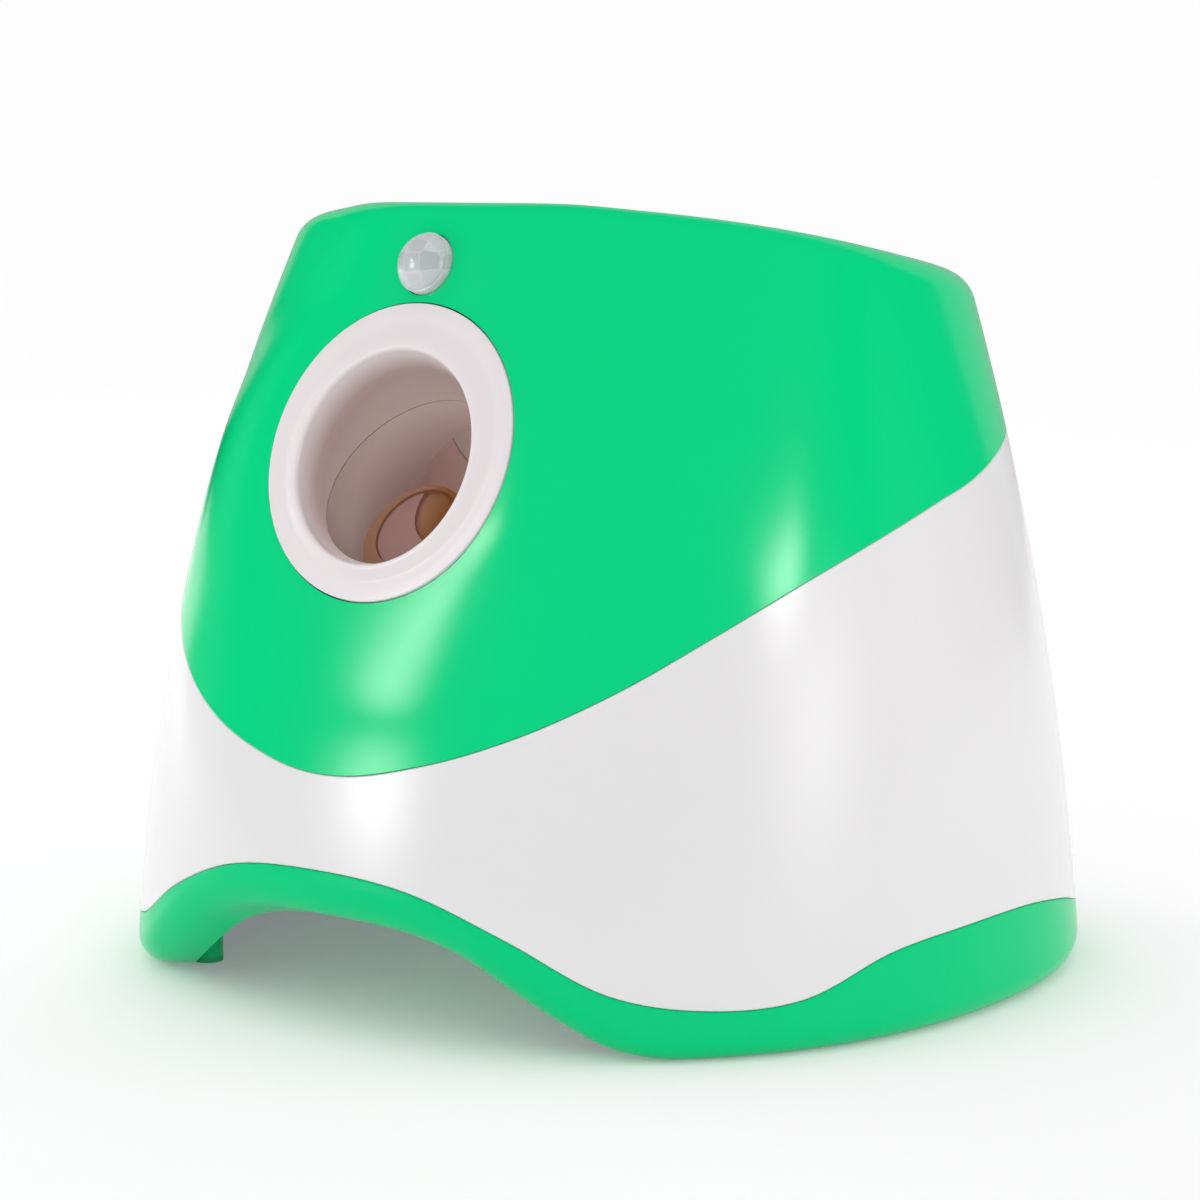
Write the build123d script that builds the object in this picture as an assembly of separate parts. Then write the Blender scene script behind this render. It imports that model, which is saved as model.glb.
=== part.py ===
from build123d import *
import os
from math import acos, atan2, cos, degrees, hypot, pi, radians, sin, tan

# Automatic dog ball launcher. Millimetres, +Z up, the muzzle faces -Y, and X = 0 is the symmetry plane.
# The origin is on the floor under the middle of the round foot.

# ---------------------------------------------------------------- driving dimensions
# housing outline: reach from the middle at the foot, at half height and at full height
full_height = 222.0
foot_radius = 135.6
side_middle, side_top = 123.3, 94.4
front_middle, front_top = 116.4, 68.0
back_middle, back_top = 117.4, 95.2
corner_power = 2.2
shell_wall = 2.6
seam_gap = 0.4
lap_gap = 0.3
lap_wall = 2.2
lap_height = 6.0

# slanted rim round the mouth of the hopper
rim_front_height, rim_middle_height, rim_back_height = 236.9, 204.5, 194.0
rim_front_y, rim_middle_y, rim_back_y = -120.0, 20.0, 150.0
rim_round = 9.0
rim_band = 14.0

# lower edge of the green hood, an arc in the side view
hood_arc_radius = 243.0
hood_arc_y, hood_arc_top = 52.5, 149.0

# green skirt: upper edge seen from the front and from the side, and the arch under it
skirt_front_edge = [(0, 44.3), (24, 42.9), (47, 37.2), (63, 29.4), (77, 21.2), (90, 16.4), (104, 14.3)]
skirt_side_edge = [
    (-90, 14.3), (-68, 16.3), (-50, 22.8), (-30, 26.2), (0, 26.8),
    (24, 26.2), (48, 23.2), (76, 17.2), (105, 14.3),
]
arch_edge = [(0, 33.3), (28, 32.6), (48, 26.9), (63, 17.5), (76, 8.6), (90, 0)]
skirt_wall = 3.0
skirt_flange_depth = 14.0
skirt_flange_height = 3.0
foot_round = 8.0

# muzzle ring and barrel
ring_height, ring_front, ring_tilt = 154.3, 99.6, 19.5
ring_radius, ring_thickness, ring_proud = 41.8, 2.5, 0.5
ring_lip_round = 3.5
ring_seat_gap = 0.3
pad_radius, pad_slope_width, pad_slope_drop = 47.0, 16.0, 11.0
pad_wall = 4.8
ring_hole_radius = 36.0
barrel_tilt = 40.0
barrel_bore = 27.5
barrel_wall = 2.5
seam_station = 14.0

# stations along the barrel, measured from the middle of the ring's face
port_station = 55.0
feed_bore = 27.0
bulkhead_station, bulkhead_thickness = 88.0, 3.0
guide_end_station = 158.0
end_cap_thickness = 3.0

# dish of the hopper
dish_radius, dish_wall = 140.0, 2.5
dish_floor_height, dish_y = 158.0, -12.0
dish_side, dish_front, dish_back = 85.5, 54.0, 86.5

# striker
striker_drop = 11.0
head_station, head_length, head_radius = 23.0, 7.0, 16.0
recess_depth, recess_radius, recess_drop = 2.0, 12.8, 9.1
plunger_radius, plunger_wall, plunger_end_station = 13.0, 3.5, 99.0
slide_gap = 0.3
pad_thickness, pad_gap = 1.2, 0.2
bare_side, bare_radius = 10.0, 14.0
rack_module = 1.2
rack_width = 7.0
rack_start_station, rack_end_station = 31.0, 97.0
spring_wire, spring_radius, spring_pitch = 1.6, 7.8, 8.0

# gear train: teeth and modules
sector_station = 92.0
sector_full_teeth, sector_teeth_ahead, sector_teeth_behind = 36, 1, 16
wheel_module, wheel_teeth, wheel_pinion_teeth = 0.8, 39, 12
second_module, second_teeth, second_pinion_teeth = 0.6, 48, 12
first_module, first_teeth, motor_pinion_teeth = 0.5, 52, 12
gear_backlash = 0.16
shaft_gap = 0.05
sector_axle_radius, small_axle_radius, motor_shaft_radius = 3.0, 1.5, 1.0
gear_face = 4.0
gear_step = 1.0
plate_thickness = 2.5
left_plate_x = -6.8
right_plate_x = 18.0
axle_overhang = 1.5

# motor
motor_radius, motor_length = 12.2, 31.0
motor_boss_radius, motor_boss_height = 3.5, 1.5

# floor of the housing: underside height of its three levels and where they change
floor_thickness = 2.5
floor_inset = 10.5
floor_front_height, floor_middle_height, floor_back_height = 37.0, 28.0, 20.0
floor_front_end, floor_middle_end, floor_step = -85.0, -14.0, 6.0
post_radius, post_pad_height = 4.5, 1.5
front_post, back_post = (81.0, -88.0), (62.0, 102.0)
housing_boss_radius = 5.0
front_boss, back_boss = (92.0, -62.0), (98.0, 60.0)
boss_height = 34.0
screw_radius, screw_head_radius, screw_head_height = 1.5, 3.0, 1.8

# motion sensor
sensor_height, sensor_front, sensor_tilt = 203.2, 78.3, 27.6
lens_radius, lens_rise, lens_wall = 9.0, 5.2, 1.2
lens_hole_gap = 0.25
lens_skirt_depth, lens_flange_radius, lens_flange_depth = 7.0, 10.8, 3.0
sensor_board_radius, sensor_can_radius, sensor_can_height = 12.0, 4.6, 4.0
board_thickness = 1.6

# control panel at the back
panel_height = 82.0
panel_tilt = 10.0
panel_width, panel_tall, panel_corner, panel_thickness = 78.0, 42.0, 9.0, 2.5
panel_recess = 6.5
panel_gap = 0.3
panel_frame_wall, panel_frame_depth = 2.5, 14.0
button_radius, button_x, button_rise, button_travel = 7.0, 24.0, 2.0, 1.5
button_flange_radius, button_flange_height = 8.4, 1.2
switch_size, switch_height = 6.0, 3.5
light_radius, light_spacing, light_offset = 1.5, 7.0, 8.0
jack_radius, jack_pin_radius, jack_depth, jack_offset = 4.2, 1.0, 9.0, -9.0
button_board_depth = 17.5

# batteries: C cells, three across in two rows
cell_radius, cell_length = 13.0, 50.0
cell_columns, cell_rows = 3, 2
cell_gap = 0.5
battery_box_wall = 2.0
battery_row_start = 38.0
contact_thickness = 0.8
door_thickness = 2.4
door_gap = 0.4
door_pin_radius = 1.2

os.makedirs("parts", exist_ok=True)

FROM_BASE = (Align.CENTER, Align.CENTER, Align.MIN)
barrel_lean = radians(barrel_tilt)
big = 400.0


# ---------------------------------------------------------------- places and small shapes
def rod(radius, length):
    """A cylinder that starts on its plane."""
    return Cylinder(radius, length, align=FROM_BASE)


def barrel_point(station, rise=0.0):
    """(y, z) of a point a distance down the barrel's axis and above it."""
    y = -ring_front + station * cos(barrel_lean) + rise * sin(barrel_lean)
    z = ring_height - station * sin(barrel_lean) + rise * cos(barrel_lean)
    return y, z


def down_barrel(station, rise=0.0, x=0.0):
    """A plane whose normal runs down the barrel. Its local y points to the barrel's underside."""
    y, z = barrel_point(station, rise)
    return Plane(origin=(x, y, z), x_dir=(1, 0, 0), z_dir=(0, cos(barrel_lean), -sin(barrel_lean)))


def up_feed(rise, station=port_station):
    """A plane whose normal runs up the feed spout, square to the barrel."""
    y, z = barrel_point(station, rise)
    return Plane(origin=(0, y, z), x_dir=(1, 0, 0), z_dir=(0, sin(barrel_lean), cos(barrel_lean)))


def facing(height, front, lean, out=0.0):
    """A plane on the front of the housing, its normal tilted up by lean degrees."""
    normal = (0, -cos(radians(lean)), sin(radians(lean)))
    return Plane(
        origin=(0, -front + out * normal[1], height + out * normal[2]), x_dir=(1, 0, 0), z_dir=normal
    )


def ring_plane(out=0.0):
    return facing(ring_height, ring_front, ring_tilt, out)


def sensor_plane(out=0.0):
    return facing(sensor_height, sensor_front, sensor_tilt, out)


def back_slab(width, low, high, station, length):
    """A box that lies along the barrel between two heights above its axis."""
    box = Box(width, high - low, length, align=FROM_BASE)
    return down_barrel(station, (low + high) / 2) * box


def yz_plate(points, x, thickness):
    """A flat plate in the YZ plane with the given (y, z) outline, from x towards +X."""
    outline = Polyline(*[(y, z) for y, z in points], close=True)
    plane = Plane(origin=(x, 0, 0), x_dir=(0, 1, 0), z_dir=(1, 0, 0))
    return plane * extrude(make_face(outline), thickness)


def axle_plane(point, x):
    """A plane at (y, z) = point whose normal is +X and whose local x is +Y."""
    return Plane(origin=(x, point[0], point[1]), x_dir=(0, 1, 0), z_dir=(1, 0, 0))


def box_between(low, high):
    size = [b - a for a, b in zip(low, high)]
    middle = [(a + b) / 2 for a, b in zip(low, high)]
    return Pos(*middle) * Box(*size)


def mirrored_pair(shape):
    return [shape, mirror(shape, about=Plane.YZ)]


# ---------------------------------------------------------------- housing outline
def reach(fraction, middle, top):
    """Parabola through the foot radius and the reaches at half and at full height."""
    foot_part = foot_radius * (2 * fraction - 1) * (fraction - 1)
    return foot_part + 4 * middle * fraction * (1 - fraction) + top * fraction * (2 * fraction - 1)


def outline(height, inset=0.0, count=32):
    """Closed face of the housing's plan outline at one height."""
    fraction = height / full_height
    side = reach(fraction, side_middle, side_top) - inset
    front = reach(fraction, front_middle, front_top) - inset
    back = reach(fraction, back_middle, back_top) - inset
    return Pos(0, 0, height) * super_oval(side, front, back, count)


def super_oval(side, front, back, count=32):
    points = []
    for step in range(count):
        angle = 2 * pi * step / count
        across, along = cos(angle), sin(angle)
        x = side * abs(across) ** (2 / corner_power) * (1 if across >= 0 else -1)
        y = abs(along) ** (2 / corner_power) * (back if along >= 0 else -front)
        points.append((x, y))
    return make_face(Spline(*points, periodic=True))


def housing_core(inset=0.0, low=0.0, high=1.06 * full_height, sections=5):
    """Solid of the housing's outline, a loft through plan outlines."""
    heights = [low + (high - low) * step / (sections - 1) for step in range(sections)]
    return loft([outline(height, inset) for height in heights])


def above_rim(drop=0.0):
    """Everything above the slanted rim's surface, lowered by drop."""
    rim = ThreePointArc(
        (rim_front_y, rim_front_height - drop),
        (rim_middle_y, rim_middle_height - drop),
        (rim_back_y, rim_back_height - drop),
    )
    start, end = rim @ 0, rim @ 1
    top = Polyline(end, (end.X, big), (start.X, big), start)
    plane = Plane(origin=(-big / 2, 0, 0), x_dir=(0, 1, 0), z_dir=(1, 0, 0))
    return plane * extrude(make_face([rim, top]), big)


def top_edges(solid):
    return solid.faces().sort_by(Axis.Z)[-1].edges()


def rimmed_core(inset):
    """The housing's solid, cut at the rim and rounded over there."""
    core = housing_core(inset, low=40.0) - above_rim(inset)
    return fillet(top_edges(core), rim_round - inset)


def under_hood_arc(grow=0.0):
    """The space below the hood's lower edge, a drum that lies across the housing."""
    centre_z = hood_arc_top - hood_arc_radius
    drum = Cylinder(hood_arc_radius + grow, big)
    return Pos(0, hood_arc_y, centre_z) * Rot(0, 90, 0) * drum


def under_skirt_edge(lift=0.0):
    """The space below the skirt's wavy upper edge, moved up by lift."""
    front_points = [(-x, z) for x, z in reversed(skirt_front_edge)] + skirt_front_edge[1:]
    front = under_curve(front_points, lift, 160.0)
    front_space = Plane(origin=(0, -40, 0), x_dir=(1, 0, 0), z_dir=(0, -1, 0)) * extrude(front, 130.0)
    side = under_curve(skirt_side_edge, lift, 160.0)
    side_space = Plane(origin=(-160, 0, 0), x_dir=(0, 1, 0), z_dir=(1, 0, 0)) * extrude(side, 320.0)
    return front_space + side_space


def under_curve(points, lift, reach_out):
    """Face between a curve, level stretches out to both sides, and a line below the floor."""
    raised = [(a, z + lift) for a, z in points]
    curve = Spline(*raised, tangents=[(1, 0), (1, 0)])
    first, last = raised[0], raised[-1]
    below = -20.0
    rest = Polyline(
        last, (reach_out, last[1]), (reach_out, below), (-reach_out, below), (-reach_out, first[1]), first
    )
    return make_face([curve, rest])


def arch_space(lift=0.0):
    """The open arch under the front, moved up by lift."""
    points = [(-x, z) for x, z in reversed(arch_edge)] + arch_edge[1:]
    raised = [(x, z + lift) for x, z in points]
    curve = Spline(*raised)
    end = raised[-1]
    below = -20.0
    rest = Polyline(end, (end[0], below), (-end[0], below), raised[0])
    plane = Plane(origin=(0, -70, 0), x_dir=(1, 0, 0), z_dir=(0, -1, 0))
    return plane * extrude(make_face([curve, rest]), 110.0)


# ---------------------------------------------------------------- housing shells
def flat_pad(out, reach_in):
    """Low cone that levels the hood round the muzzle ring."""
    cone_low = pad_radius + pad_slope_width * reach_in / pad_slope_drop
    return ring_plane(out - reach_in) * Cone(cone_low, pad_radius, reach_in, align=FROM_BASE)


def hood():
    """Green upper shell with the rolled rim, the ring's seat and the sensor's hole."""
    outer = rimmed_core(0.0) + flat_pad(-ring_proud, pad_slope_drop)
    outer -= ring_plane(-ring_proud) * rod(pad_radius, 30.0)
    inner = rimmed_core(shell_wall) + flat_pad(-ring_proud - pad_wall, pad_slope_drop)
    inner -= ring_plane(-ring_proud - pad_wall) * rod(pad_radius, 30.0)
    shell = outer - inner - under_hood_arc()
    shell -= housing_core(rim_band, low=150.0, sections=4)
    shell -= ring_plane(-60.0) * rod(ring_hole_radius, 90.0)
    shell -= ring_plane(-ring_thickness - ring_seat_gap) * rod(ring_radius + ring_seat_gap, 30.0)
    shell -= sensor_plane(-20.0) * rod(lens_radius + lens_hole_gap, 40.0)
    return shell


def body_shell():
    """White lower shell with a lap at each edge, screw bosses and the panel's frame."""
    deep_inset = skirt_wall + lap_gap + lap_wall
    keep = panel_frame_block() + housing_bosses()
    deep_hollow = housing_core(deep_inset) - keep
    wall_hollow = housing_core(shell_wall) & under_hood_arc(-seam_gap - lap_height)
    wall_hollow = wall_hollow - under_skirt_edge(seam_gap + lap_height) - keep
    over_hood_lap = housing_core(-1.0) - under_hood_arc(-seam_gap) - housing_core(shell_wall + lap_gap)
    over_skirt_lap = (housing_core(-1.0) & under_skirt_edge(seam_gap)) - housing_core(skirt_wall + lap_gap)
    shell = (housing_core() & under_hood_arc(lap_height)) - under_skirt_edge(-lap_height)
    shell = shell - over_hood_lap - over_skirt_lap - deep_hollow - wall_hollow
    shell -= panel_block(panel_width, panel_tall, 60.0, panel_corner) - panel_ledge()
    for x, y, floor_top in boss_places():
        shell -= Pos(x, y, floor_top - 1.0) * rod(screw_radius, 17.0)
    return shell


def boss_places():
    middle_top = floor_middle_height + floor_thickness
    back_floor_top = floor_back_height + floor_thickness
    places = []
    for side in (-1, 1):
        places.append((side * front_boss[0], front_boss[1], middle_top))
        places.append((side * back_boss[0], back_boss[1], back_floor_top))
    return places


def housing_bosses():
    """Screw columns, each with a rib out to the wall."""
    bosses = Part()
    for x, y, floor_top in boss_places():
        column = Pos(x, y, floor_top) * rod(housing_boss_radius, boss_height)
        rib = Box(60.0, 2.4, boss_height, align=(Align.MIN, Align.CENTER, Align.MIN))
        bosses += column + Pos(x, y, floor_top) * Rot(0, 0, degrees(atan2(y, x))) * rib
    return bosses


def base_trim():
    """Green wavy skirt with a flange under it and the arch in front."""
    core = housing_core()
    core = fillet(core.faces().sort_by(Axis.Z)[0].edges(), foot_round)
    hollow = housing_core(skirt_wall, low=skirt_flange_height) - arch_space(skirt_flange_height)
    return (core & under_skirt_edge()) - arch_space() - hollow - housing_core(skirt_flange_depth)


# ---------------------------------------------------------------- floor of the housing
def floor_top_at(y):
    """Height of the floor's top face at a given y."""
    if y < floor_front_end:
        return floor_front_height + floor_thickness
    if y < floor_middle_end:
        return floor_middle_height + floor_thickness
    return floor_back_height + floor_thickness


def base_plate():
    """Stepped floor with the battery opening and four posts."""
    under = [
        (-big / 2, floor_front_height), (floor_front_end, floor_front_height),
        (floor_front_end + floor_step, floor_middle_height), (floor_middle_end, floor_middle_height),
        (floor_middle_end + floor_step, floor_back_height), (big / 2, floor_back_height),
    ]
    upper = [(y, z + floor_thickness) for y, z in under]
    sheet = yz_plate(under + list(reversed(upper)), -big / 2, big)
    plate = sheet & housing_core(floor_inset)
    for x, y in (front_post, back_post):
        top = floor_top_at(y)
        post = Pos(x, y, post_pad_height) * rod(post_radius, top - post_pad_height)
        for copy in mirrored_pair(post):
            plate += copy
    for x, y in (front_boss, back_boss):
        hole = Pos(x, y, 0) * rod(screw_radius + 0.2, 60)
        for copy in mirrored_pair(hole):
            plate -= copy
    low, high = door_opening()
    plate -= box_between((low[0], low[1], 0), (high[0], high[1], 60))
    return plate + door_ears()


def foot_pads():
    pads = []
    for x, y in (front_post, back_post):
        pads += mirrored_pair(Pos(x, y, 0) * rod(post_radius, post_pad_height))
    return pads


def housing_screws():
    screws = []
    for x, y in (front_boss, back_boss):
        under = floor_top_at(y) - floor_thickness
        shank = Pos(x, y, under) * rod(screw_radius, 14.0)
        head = Pos(x, y, under - screw_head_height) * rod(screw_head_radius, screw_head_height)
        screws += mirrored_pair(shank + head)
    return screws


# ---------------------------------------------------------------- muzzle ring, barrel and hopper
def muzzle_ring():
    """Flange on the hood with a sleeve down to the barrel."""
    flange = ring_plane(-ring_thickness) * rod(ring_radius, ring_thickness)
    sleeve = down_barrel(-20.0) * rod(barrel_bore + barrel_wall, 20.0 + seam_station)
    sleeve -= ring_plane(0.0) * rod(90.0, 60.0)
    ring = flange + sleeve - down_barrel(-60.0) * rod(barrel_bore, 120.0)
    mouth = [
        edge for edge in ring.edges()
        if abs(ring_plane().to_local_coords(edge.center()).Z) < 0.01 and edge.length < 2 * pi * 35
    ]
    return fillet(mouth, ring_lip_round)


def guide_outline(extra, station, length):
    """The plunger's round and rack-shaped section, larger by extra all round."""
    tube = down_barrel(station, -striker_drop) * rod(plunger_radius + extra, length)
    keel_width = rack_width + 2 * extra
    keel_low = -striker_drop - rack_depth() - extra
    return tube + back_slab(keel_width, keel_low, -striker_drop, station, length)


def rack_depth():
    """From the plunger's axis to the rack's tooth tips."""
    return barrel_bore - striker_drop - 0.6


def rack_pitch_rise():
    return -striker_drop - rack_depth() + rack_module


def sector_pitch_radius():
    return rack_module * sector_full_teeth / 2


def sector_centre():
    """(y, z) of the sector gear's axle."""
    return barrel_point(sector_station, rack_pitch_rise() - sector_pitch_radius())


def launch_barrel():
    """Slanted tube with the feed collar, a bulkhead and the striker's guide."""
    outer_radius = barrel_bore + barrel_wall
    start = seam_station + lap_gap
    tube = down_barrel(start) * rod(outer_radius, bulkhead_station + bulkhead_thickness - start)
    collar = up_feed(0.0) * rod(feed_bore + barrel_wall, 36.0)
    guide_length = guide_end_station - bulkhead_station
    guide = guide_outline(slide_gap + barrel_wall, bulkhead_station, guide_length)
    barrel = tube + collar + guide
    barrel -= down_barrel(start - 1.0) * rod(barrel_bore, bulkhead_station - start + 1.0)
    barrel -= up_feed(0.0) * rod(feed_bore, 60.0)
    barrel -= guide_outline(slide_gap, bulkhead_station - 1.0, guide_length + 2.0)
    slot = Cylinder(sector_pitch_radius() + rack_module + 0.8, rack_width + 1.6)
    barrel -= axle_plane(sector_centre(), 0.0) * slot
    return barrel


def barrel_end_cap():
    """Closes the guide and seats the drive spring."""
    cap = guide_outline(slide_gap + barrel_wall, guide_end_station, end_cap_thickness)
    seat = down_barrel(guide_end_station - 6.0, -striker_drop) * rod(spring_radius - spring_wire, 6.0)
    return cap + seat


def striker():
    """Head with a round recess, hollow plunger and rack in one moulding."""
    head = down_barrel(head_station, -striker_drop) * rod(head_radius, head_length)
    head -= down_barrel(head_station - 1.0, -recess_drop) * rod(recess_radius, recess_depth + 1.0)
    root_station = head_station + recess_depth
    plunger_length = plunger_end_station - root_station
    plunger = down_barrel(root_station, -striker_drop) * rod(plunger_radius, plunger_length)
    hollow_start = head_station + head_length + plunger_wall
    hollow = down_barrel(hollow_start, -striker_drop) * rod(plunger_radius - plunger_wall, 100.0)
    return head + (plunger - hollow) + rack()


def rack():
    """Straight rack under the plunger, its teeth down, with a gap centred on the sector's station."""
    pitch = pi * rack_module
    tip = rack_pitch_rise() - rack_module
    root = rack_pitch_rise() + 1.25 * rack_module
    top = -striker_drop - plunger_radius + 2.5
    slope = tan(radians(20))
    half_at_pitch = pitch / 4 - gear_backlash / 4
    half_tip = half_at_pitch - rack_module * slope
    half_root = half_at_pitch + 1.25 * rack_module * slope
    first = round((rack_start_station - sector_station) / pitch) + 0.5
    count = int((rack_end_station - rack_start_station) / pitch)
    points = [(rack_start_station, top), (rack_start_station, root)]
    for index in range(count):
        middle = sector_station + (first + index) * pitch
        if middle - half_root < rack_start_station or middle + half_root > rack_end_station:
            continue
        points += [(middle - half_root, root), (middle - half_tip, tip)]
        points += [(middle + half_tip, tip), (middle + half_root, root)]
    points += [(rack_end_station, root), (rack_end_station, top)]
    outline_points = [barrel_point(station, rise) for station, rise in points]
    return yz_plate(outline_points, -rack_width / 2, rack_width)


def striker_pad():
    """White pad in the striker's recess, cut away in a curve on one side, where the head stays bare."""
    station = head_station + recess_depth - pad_thickness
    pad = down_barrel(station, -recess_drop) * rod(recess_radius - pad_gap, pad_thickness)
    cut = Pos(bare_side, 0, 0) * rod(bare_radius, pad_thickness + 2.0)
    return pad - down_barrel(station - 1.0) * cut


def drive_spring():
    """Compression spring between the plunger's end wall and the end cap."""
    start = head_station + head_length + plunger_wall + 0.2 + spring_wire / 2
    length = guide_end_station - 0.2 - spring_wire / 2 - start
    path = Helix(pitch=spring_pitch, height=length, radius=spring_radius)
    section = Plane(origin=path @ 0, z_dir=path % 0) * Circle(spring_wire / 2)
    return down_barrel(start, -striker_drop) * sweep(section, path=path, is_frenet=True)


def mouth_prism(extra, top):
    """Upright prism of the hopper's mouth, larger by extra all round."""
    face = super_oval(dish_side + extra, dish_front + extra, dish_back + extra, 16)
    return Pos(0, 0, 120.0) * extrude(face, top - 120.0)


def dish(extra):
    """Inside of the hopper's dish, or its outside with the wall as extra."""
    ball = Pos(0, dish_y, dish_floor_height + dish_radius) * Sphere(dish_radius + extra)
    return mouth_prism(extra, 240.0 + extra) & ball


def hopper():
    """Dish under the slanted rim, with the spout that feeds the barrel."""
    spout_low, spout_high = 36.3, 75.0
    flange = mouth_prism(2 * dish_wall, 250.0) & above_rim(shell_wall + 2.0)
    bowl = (dish(dish_wall) + flange) - above_rim(shell_wall)
    bowl += up_feed(spout_low) * rod(feed_bore + barrel_wall, spout_high - spout_low)
    bowl += up_feed(31.5) * rod(feed_bore + 2 * barrel_wall + 0.3, 7.0)
    bowl -= dish(0.0)
    bowl -= up_feed(20.0) * rod(feed_bore, spout_high - 20.0)
    return bowl - up_feed(30.0) * rod(feed_bore + barrel_wall + 0.3, spout_low - 30.0)


def feed_sensors():
    """Light-beam emitter and receiver, one on each side of the spout."""
    outside = feed_bore + barrel_wall + 0.2
    plane = up_feed(43.0)
    block = Pos(outside + 3.0, 0, 0) * Box(6.0, 9.0, 9.0)
    saddle = rod(outside, 40.0)
    pair = [block, mirror(block, about=Plane.YZ)]
    return [plane * (one - Pos(0, 0, -20) * saddle) for one in pair]


# ---------------------------------------------------------------- gears
def involute(angle):
    return tan(angle) - angle


def tooth_points(module, teeth, middle):
    """Outline of one involute tooth, from root to root, centred on an angle."""
    pitch_radius = module * teeth / 2
    base_radius = pitch_radius * cos(radians(20))
    root_radius = pitch_radius - 1.25 * module
    tip_radius = pitch_radius + module
    half = (pi / 2 - gear_backlash / (2 * module)) / teeth + involute(radians(20))
    start = max(base_radius, root_radius)
    flank = []
    steps = 5
    for step in range(steps + 1):
        radius = start + (tip_radius - start) * step / steps
        flank.append((radius, half - involute(acos(min(1.0, base_radius / radius)))))
    if start > root_radius:
        flank.insert(0, (root_radius, flank[0][1]))
    rising = [(radius, middle - spread) for radius, spread in flank]
    falling = [(radius, middle + spread) for radius, spread in reversed(flank)]
    return [(radius * cos(angle), radius * sin(angle)) for radius, angle in rising + falling]


def toothed_face(module, teeth, phase, indexes=None):
    """Gear outline on XY. Tooth 0 is centred on the phase angle, in radians."""
    indexes = list(range(teeth)) if indexes is None else indexes
    pitch = 2 * pi / teeth
    root_radius = module * teeth / 2 - 1.25 * module
    outlines = [tooth_points(module, teeth, phase + index * pitch) for index in indexes]
    edges = []
    for position, points in enumerate(outlines):
        edges.append(Polyline(*points))
        following = outlines[(position + 1) % len(outlines)]
        from_angle = atan2(points[-1][1], points[-1][0])
        to_angle = atan2(following[0][1], following[0][0])
        sweep_angle = (to_angle - from_angle) % (2 * pi)
        mid_angle = from_angle + sweep_angle / 2
        middle = (root_radius * cos(mid_angle), root_radius * sin(mid_angle))
        edges.append(ThreePointArc(points[-1], middle, following[0]))
    return make_face(edges)


def gear_at(point, x, face_width, module, teeth, phase, indexes=None):
    """Gear whose axle runs along X through (y, z) = point. The phase is measured from +Y towards +Z."""
    return axle_plane(point, x) * extrude(toothed_face(module, teeth, phase, indexes), face_width)


def heading(start, end):
    return atan2(end[1] - start[1], end[0] - start[0])


def meshing_phase(line_angle, teeth):
    """Phase that puts a gap on the line back to the driving gear."""
    return line_angle + pi + pi / teeth


def stepped(start, distance, direction):
    return start[0] + distance * cos(direction), start[1] + distance * sin(direction)


def train_layout():
    """Axle points of the gear train, each a tooth-contact distance from the last."""
    sector = sector_centre()
    to_second = radians(146.0)
    to_first = radians(173.5)
    to_motor = radians(250.0)
    second = stepped(sector, wheel_module * (wheel_teeth + wheel_pinion_teeth) / 2, to_second)
    first = stepped(second, second_module * (second_teeth + second_pinion_teeth) / 2, to_first)
    motor = stepped(first, first_module * (first_teeth + motor_pinion_teeth) / 2, to_motor)
    return sector, second, first, motor


sector_point, second_point, first_point, motor_point = train_layout()
wheel_x = rack_width / 2 + gear_step
second_x = wheel_x + gear_face + gear_step
first_x = second_x + gear_face + gear_step - 1.0


def sector_gear():
    """Part-toothed gear for the rack, moulded with the large wheel that turns it."""
    up_angle = atan2(cos(barrel_lean), sin(barrel_lean))
    pitch = 2 * pi / sector_full_teeth
    indexes = list(range(-sector_teeth_ahead, sector_teeth_behind + 1))
    sector_x, sector_face = -rack_width / 2 + 0.2, rack_width - 0.4
    sector = gear_at(
        sector_point, sector_x, sector_face, rack_module, sector_full_teeth, up_angle, indexes
    )
    wheel_phase = heading(sector_point, second_point)
    wheel = gear_at(sector_point, wheel_x, gear_face, wheel_module, wheel_teeth, wheel_phase)
    hub_start = left_plate_x + 0.3
    hub_length = right_plate_x - 0.3 - hub_start
    hub = axle_plane(sector_point, hub_start) * rod(sector_axle_radius + 1.5, hub_length)
    bore = axle_plane(sector_point, hub_start - 5.0) * rod(sector_axle_radius + shaft_gap, 60.0)
    return sector + wheel + hub - bore


def compound_gear(point, before, after, pinion, wheel, pinion_x, wheel_x_start, hub_start):
    """Pinion that meshes with the gear before it, moulded with a wheel that meshes with the next pinion."""
    pinion_module, pinion_teeth = pinion
    gear_module, gear_teeth = wheel
    pinion_phase = meshing_phase(heading(before, point), pinion_teeth)
    wheel_phase = heading(point, after)
    small = gear_at(point, pinion_x, gear_face + gear_step, pinion_module, pinion_teeth, pinion_phase)
    large = gear_at(point, wheel_x_start, 3.0, gear_module, gear_teeth, wheel_phase)
    hub_radius = small_axle_radius + 1.3
    hub = axle_plane(point, hub_start) * rod(hub_radius, right_plate_x - 0.3 - hub_start)
    bore = axle_plane(point, left_plate_x - 5.0) * rod(small_axle_radius + shaft_gap, 60.0)
    return small + large + hub - bore


def second_gear():
    return compound_gear(
        second_point, sector_point, first_point, (wheel_module, wheel_pinion_teeth),
        (second_module, second_teeth), wheel_x, second_x, wheel_x,
    )


def first_gear():
    return compound_gear(
        first_point, second_point, motor_point, (second_module, second_pinion_teeth),
        (first_module, first_teeth), second_x, first_x, left_plate_x + 0.3,
    )


def motor_pinion():
    phase = meshing_phase(heading(first_point, motor_point), motor_pinion_teeth)
    pinion = gear_at(motor_point, first_x - 0.2, 3.4, first_module, motor_pinion_teeth, phase)
    return pinion - axle_plane(motor_point, 0.0) * rod(motor_shaft_radius, 40.0)


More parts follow.
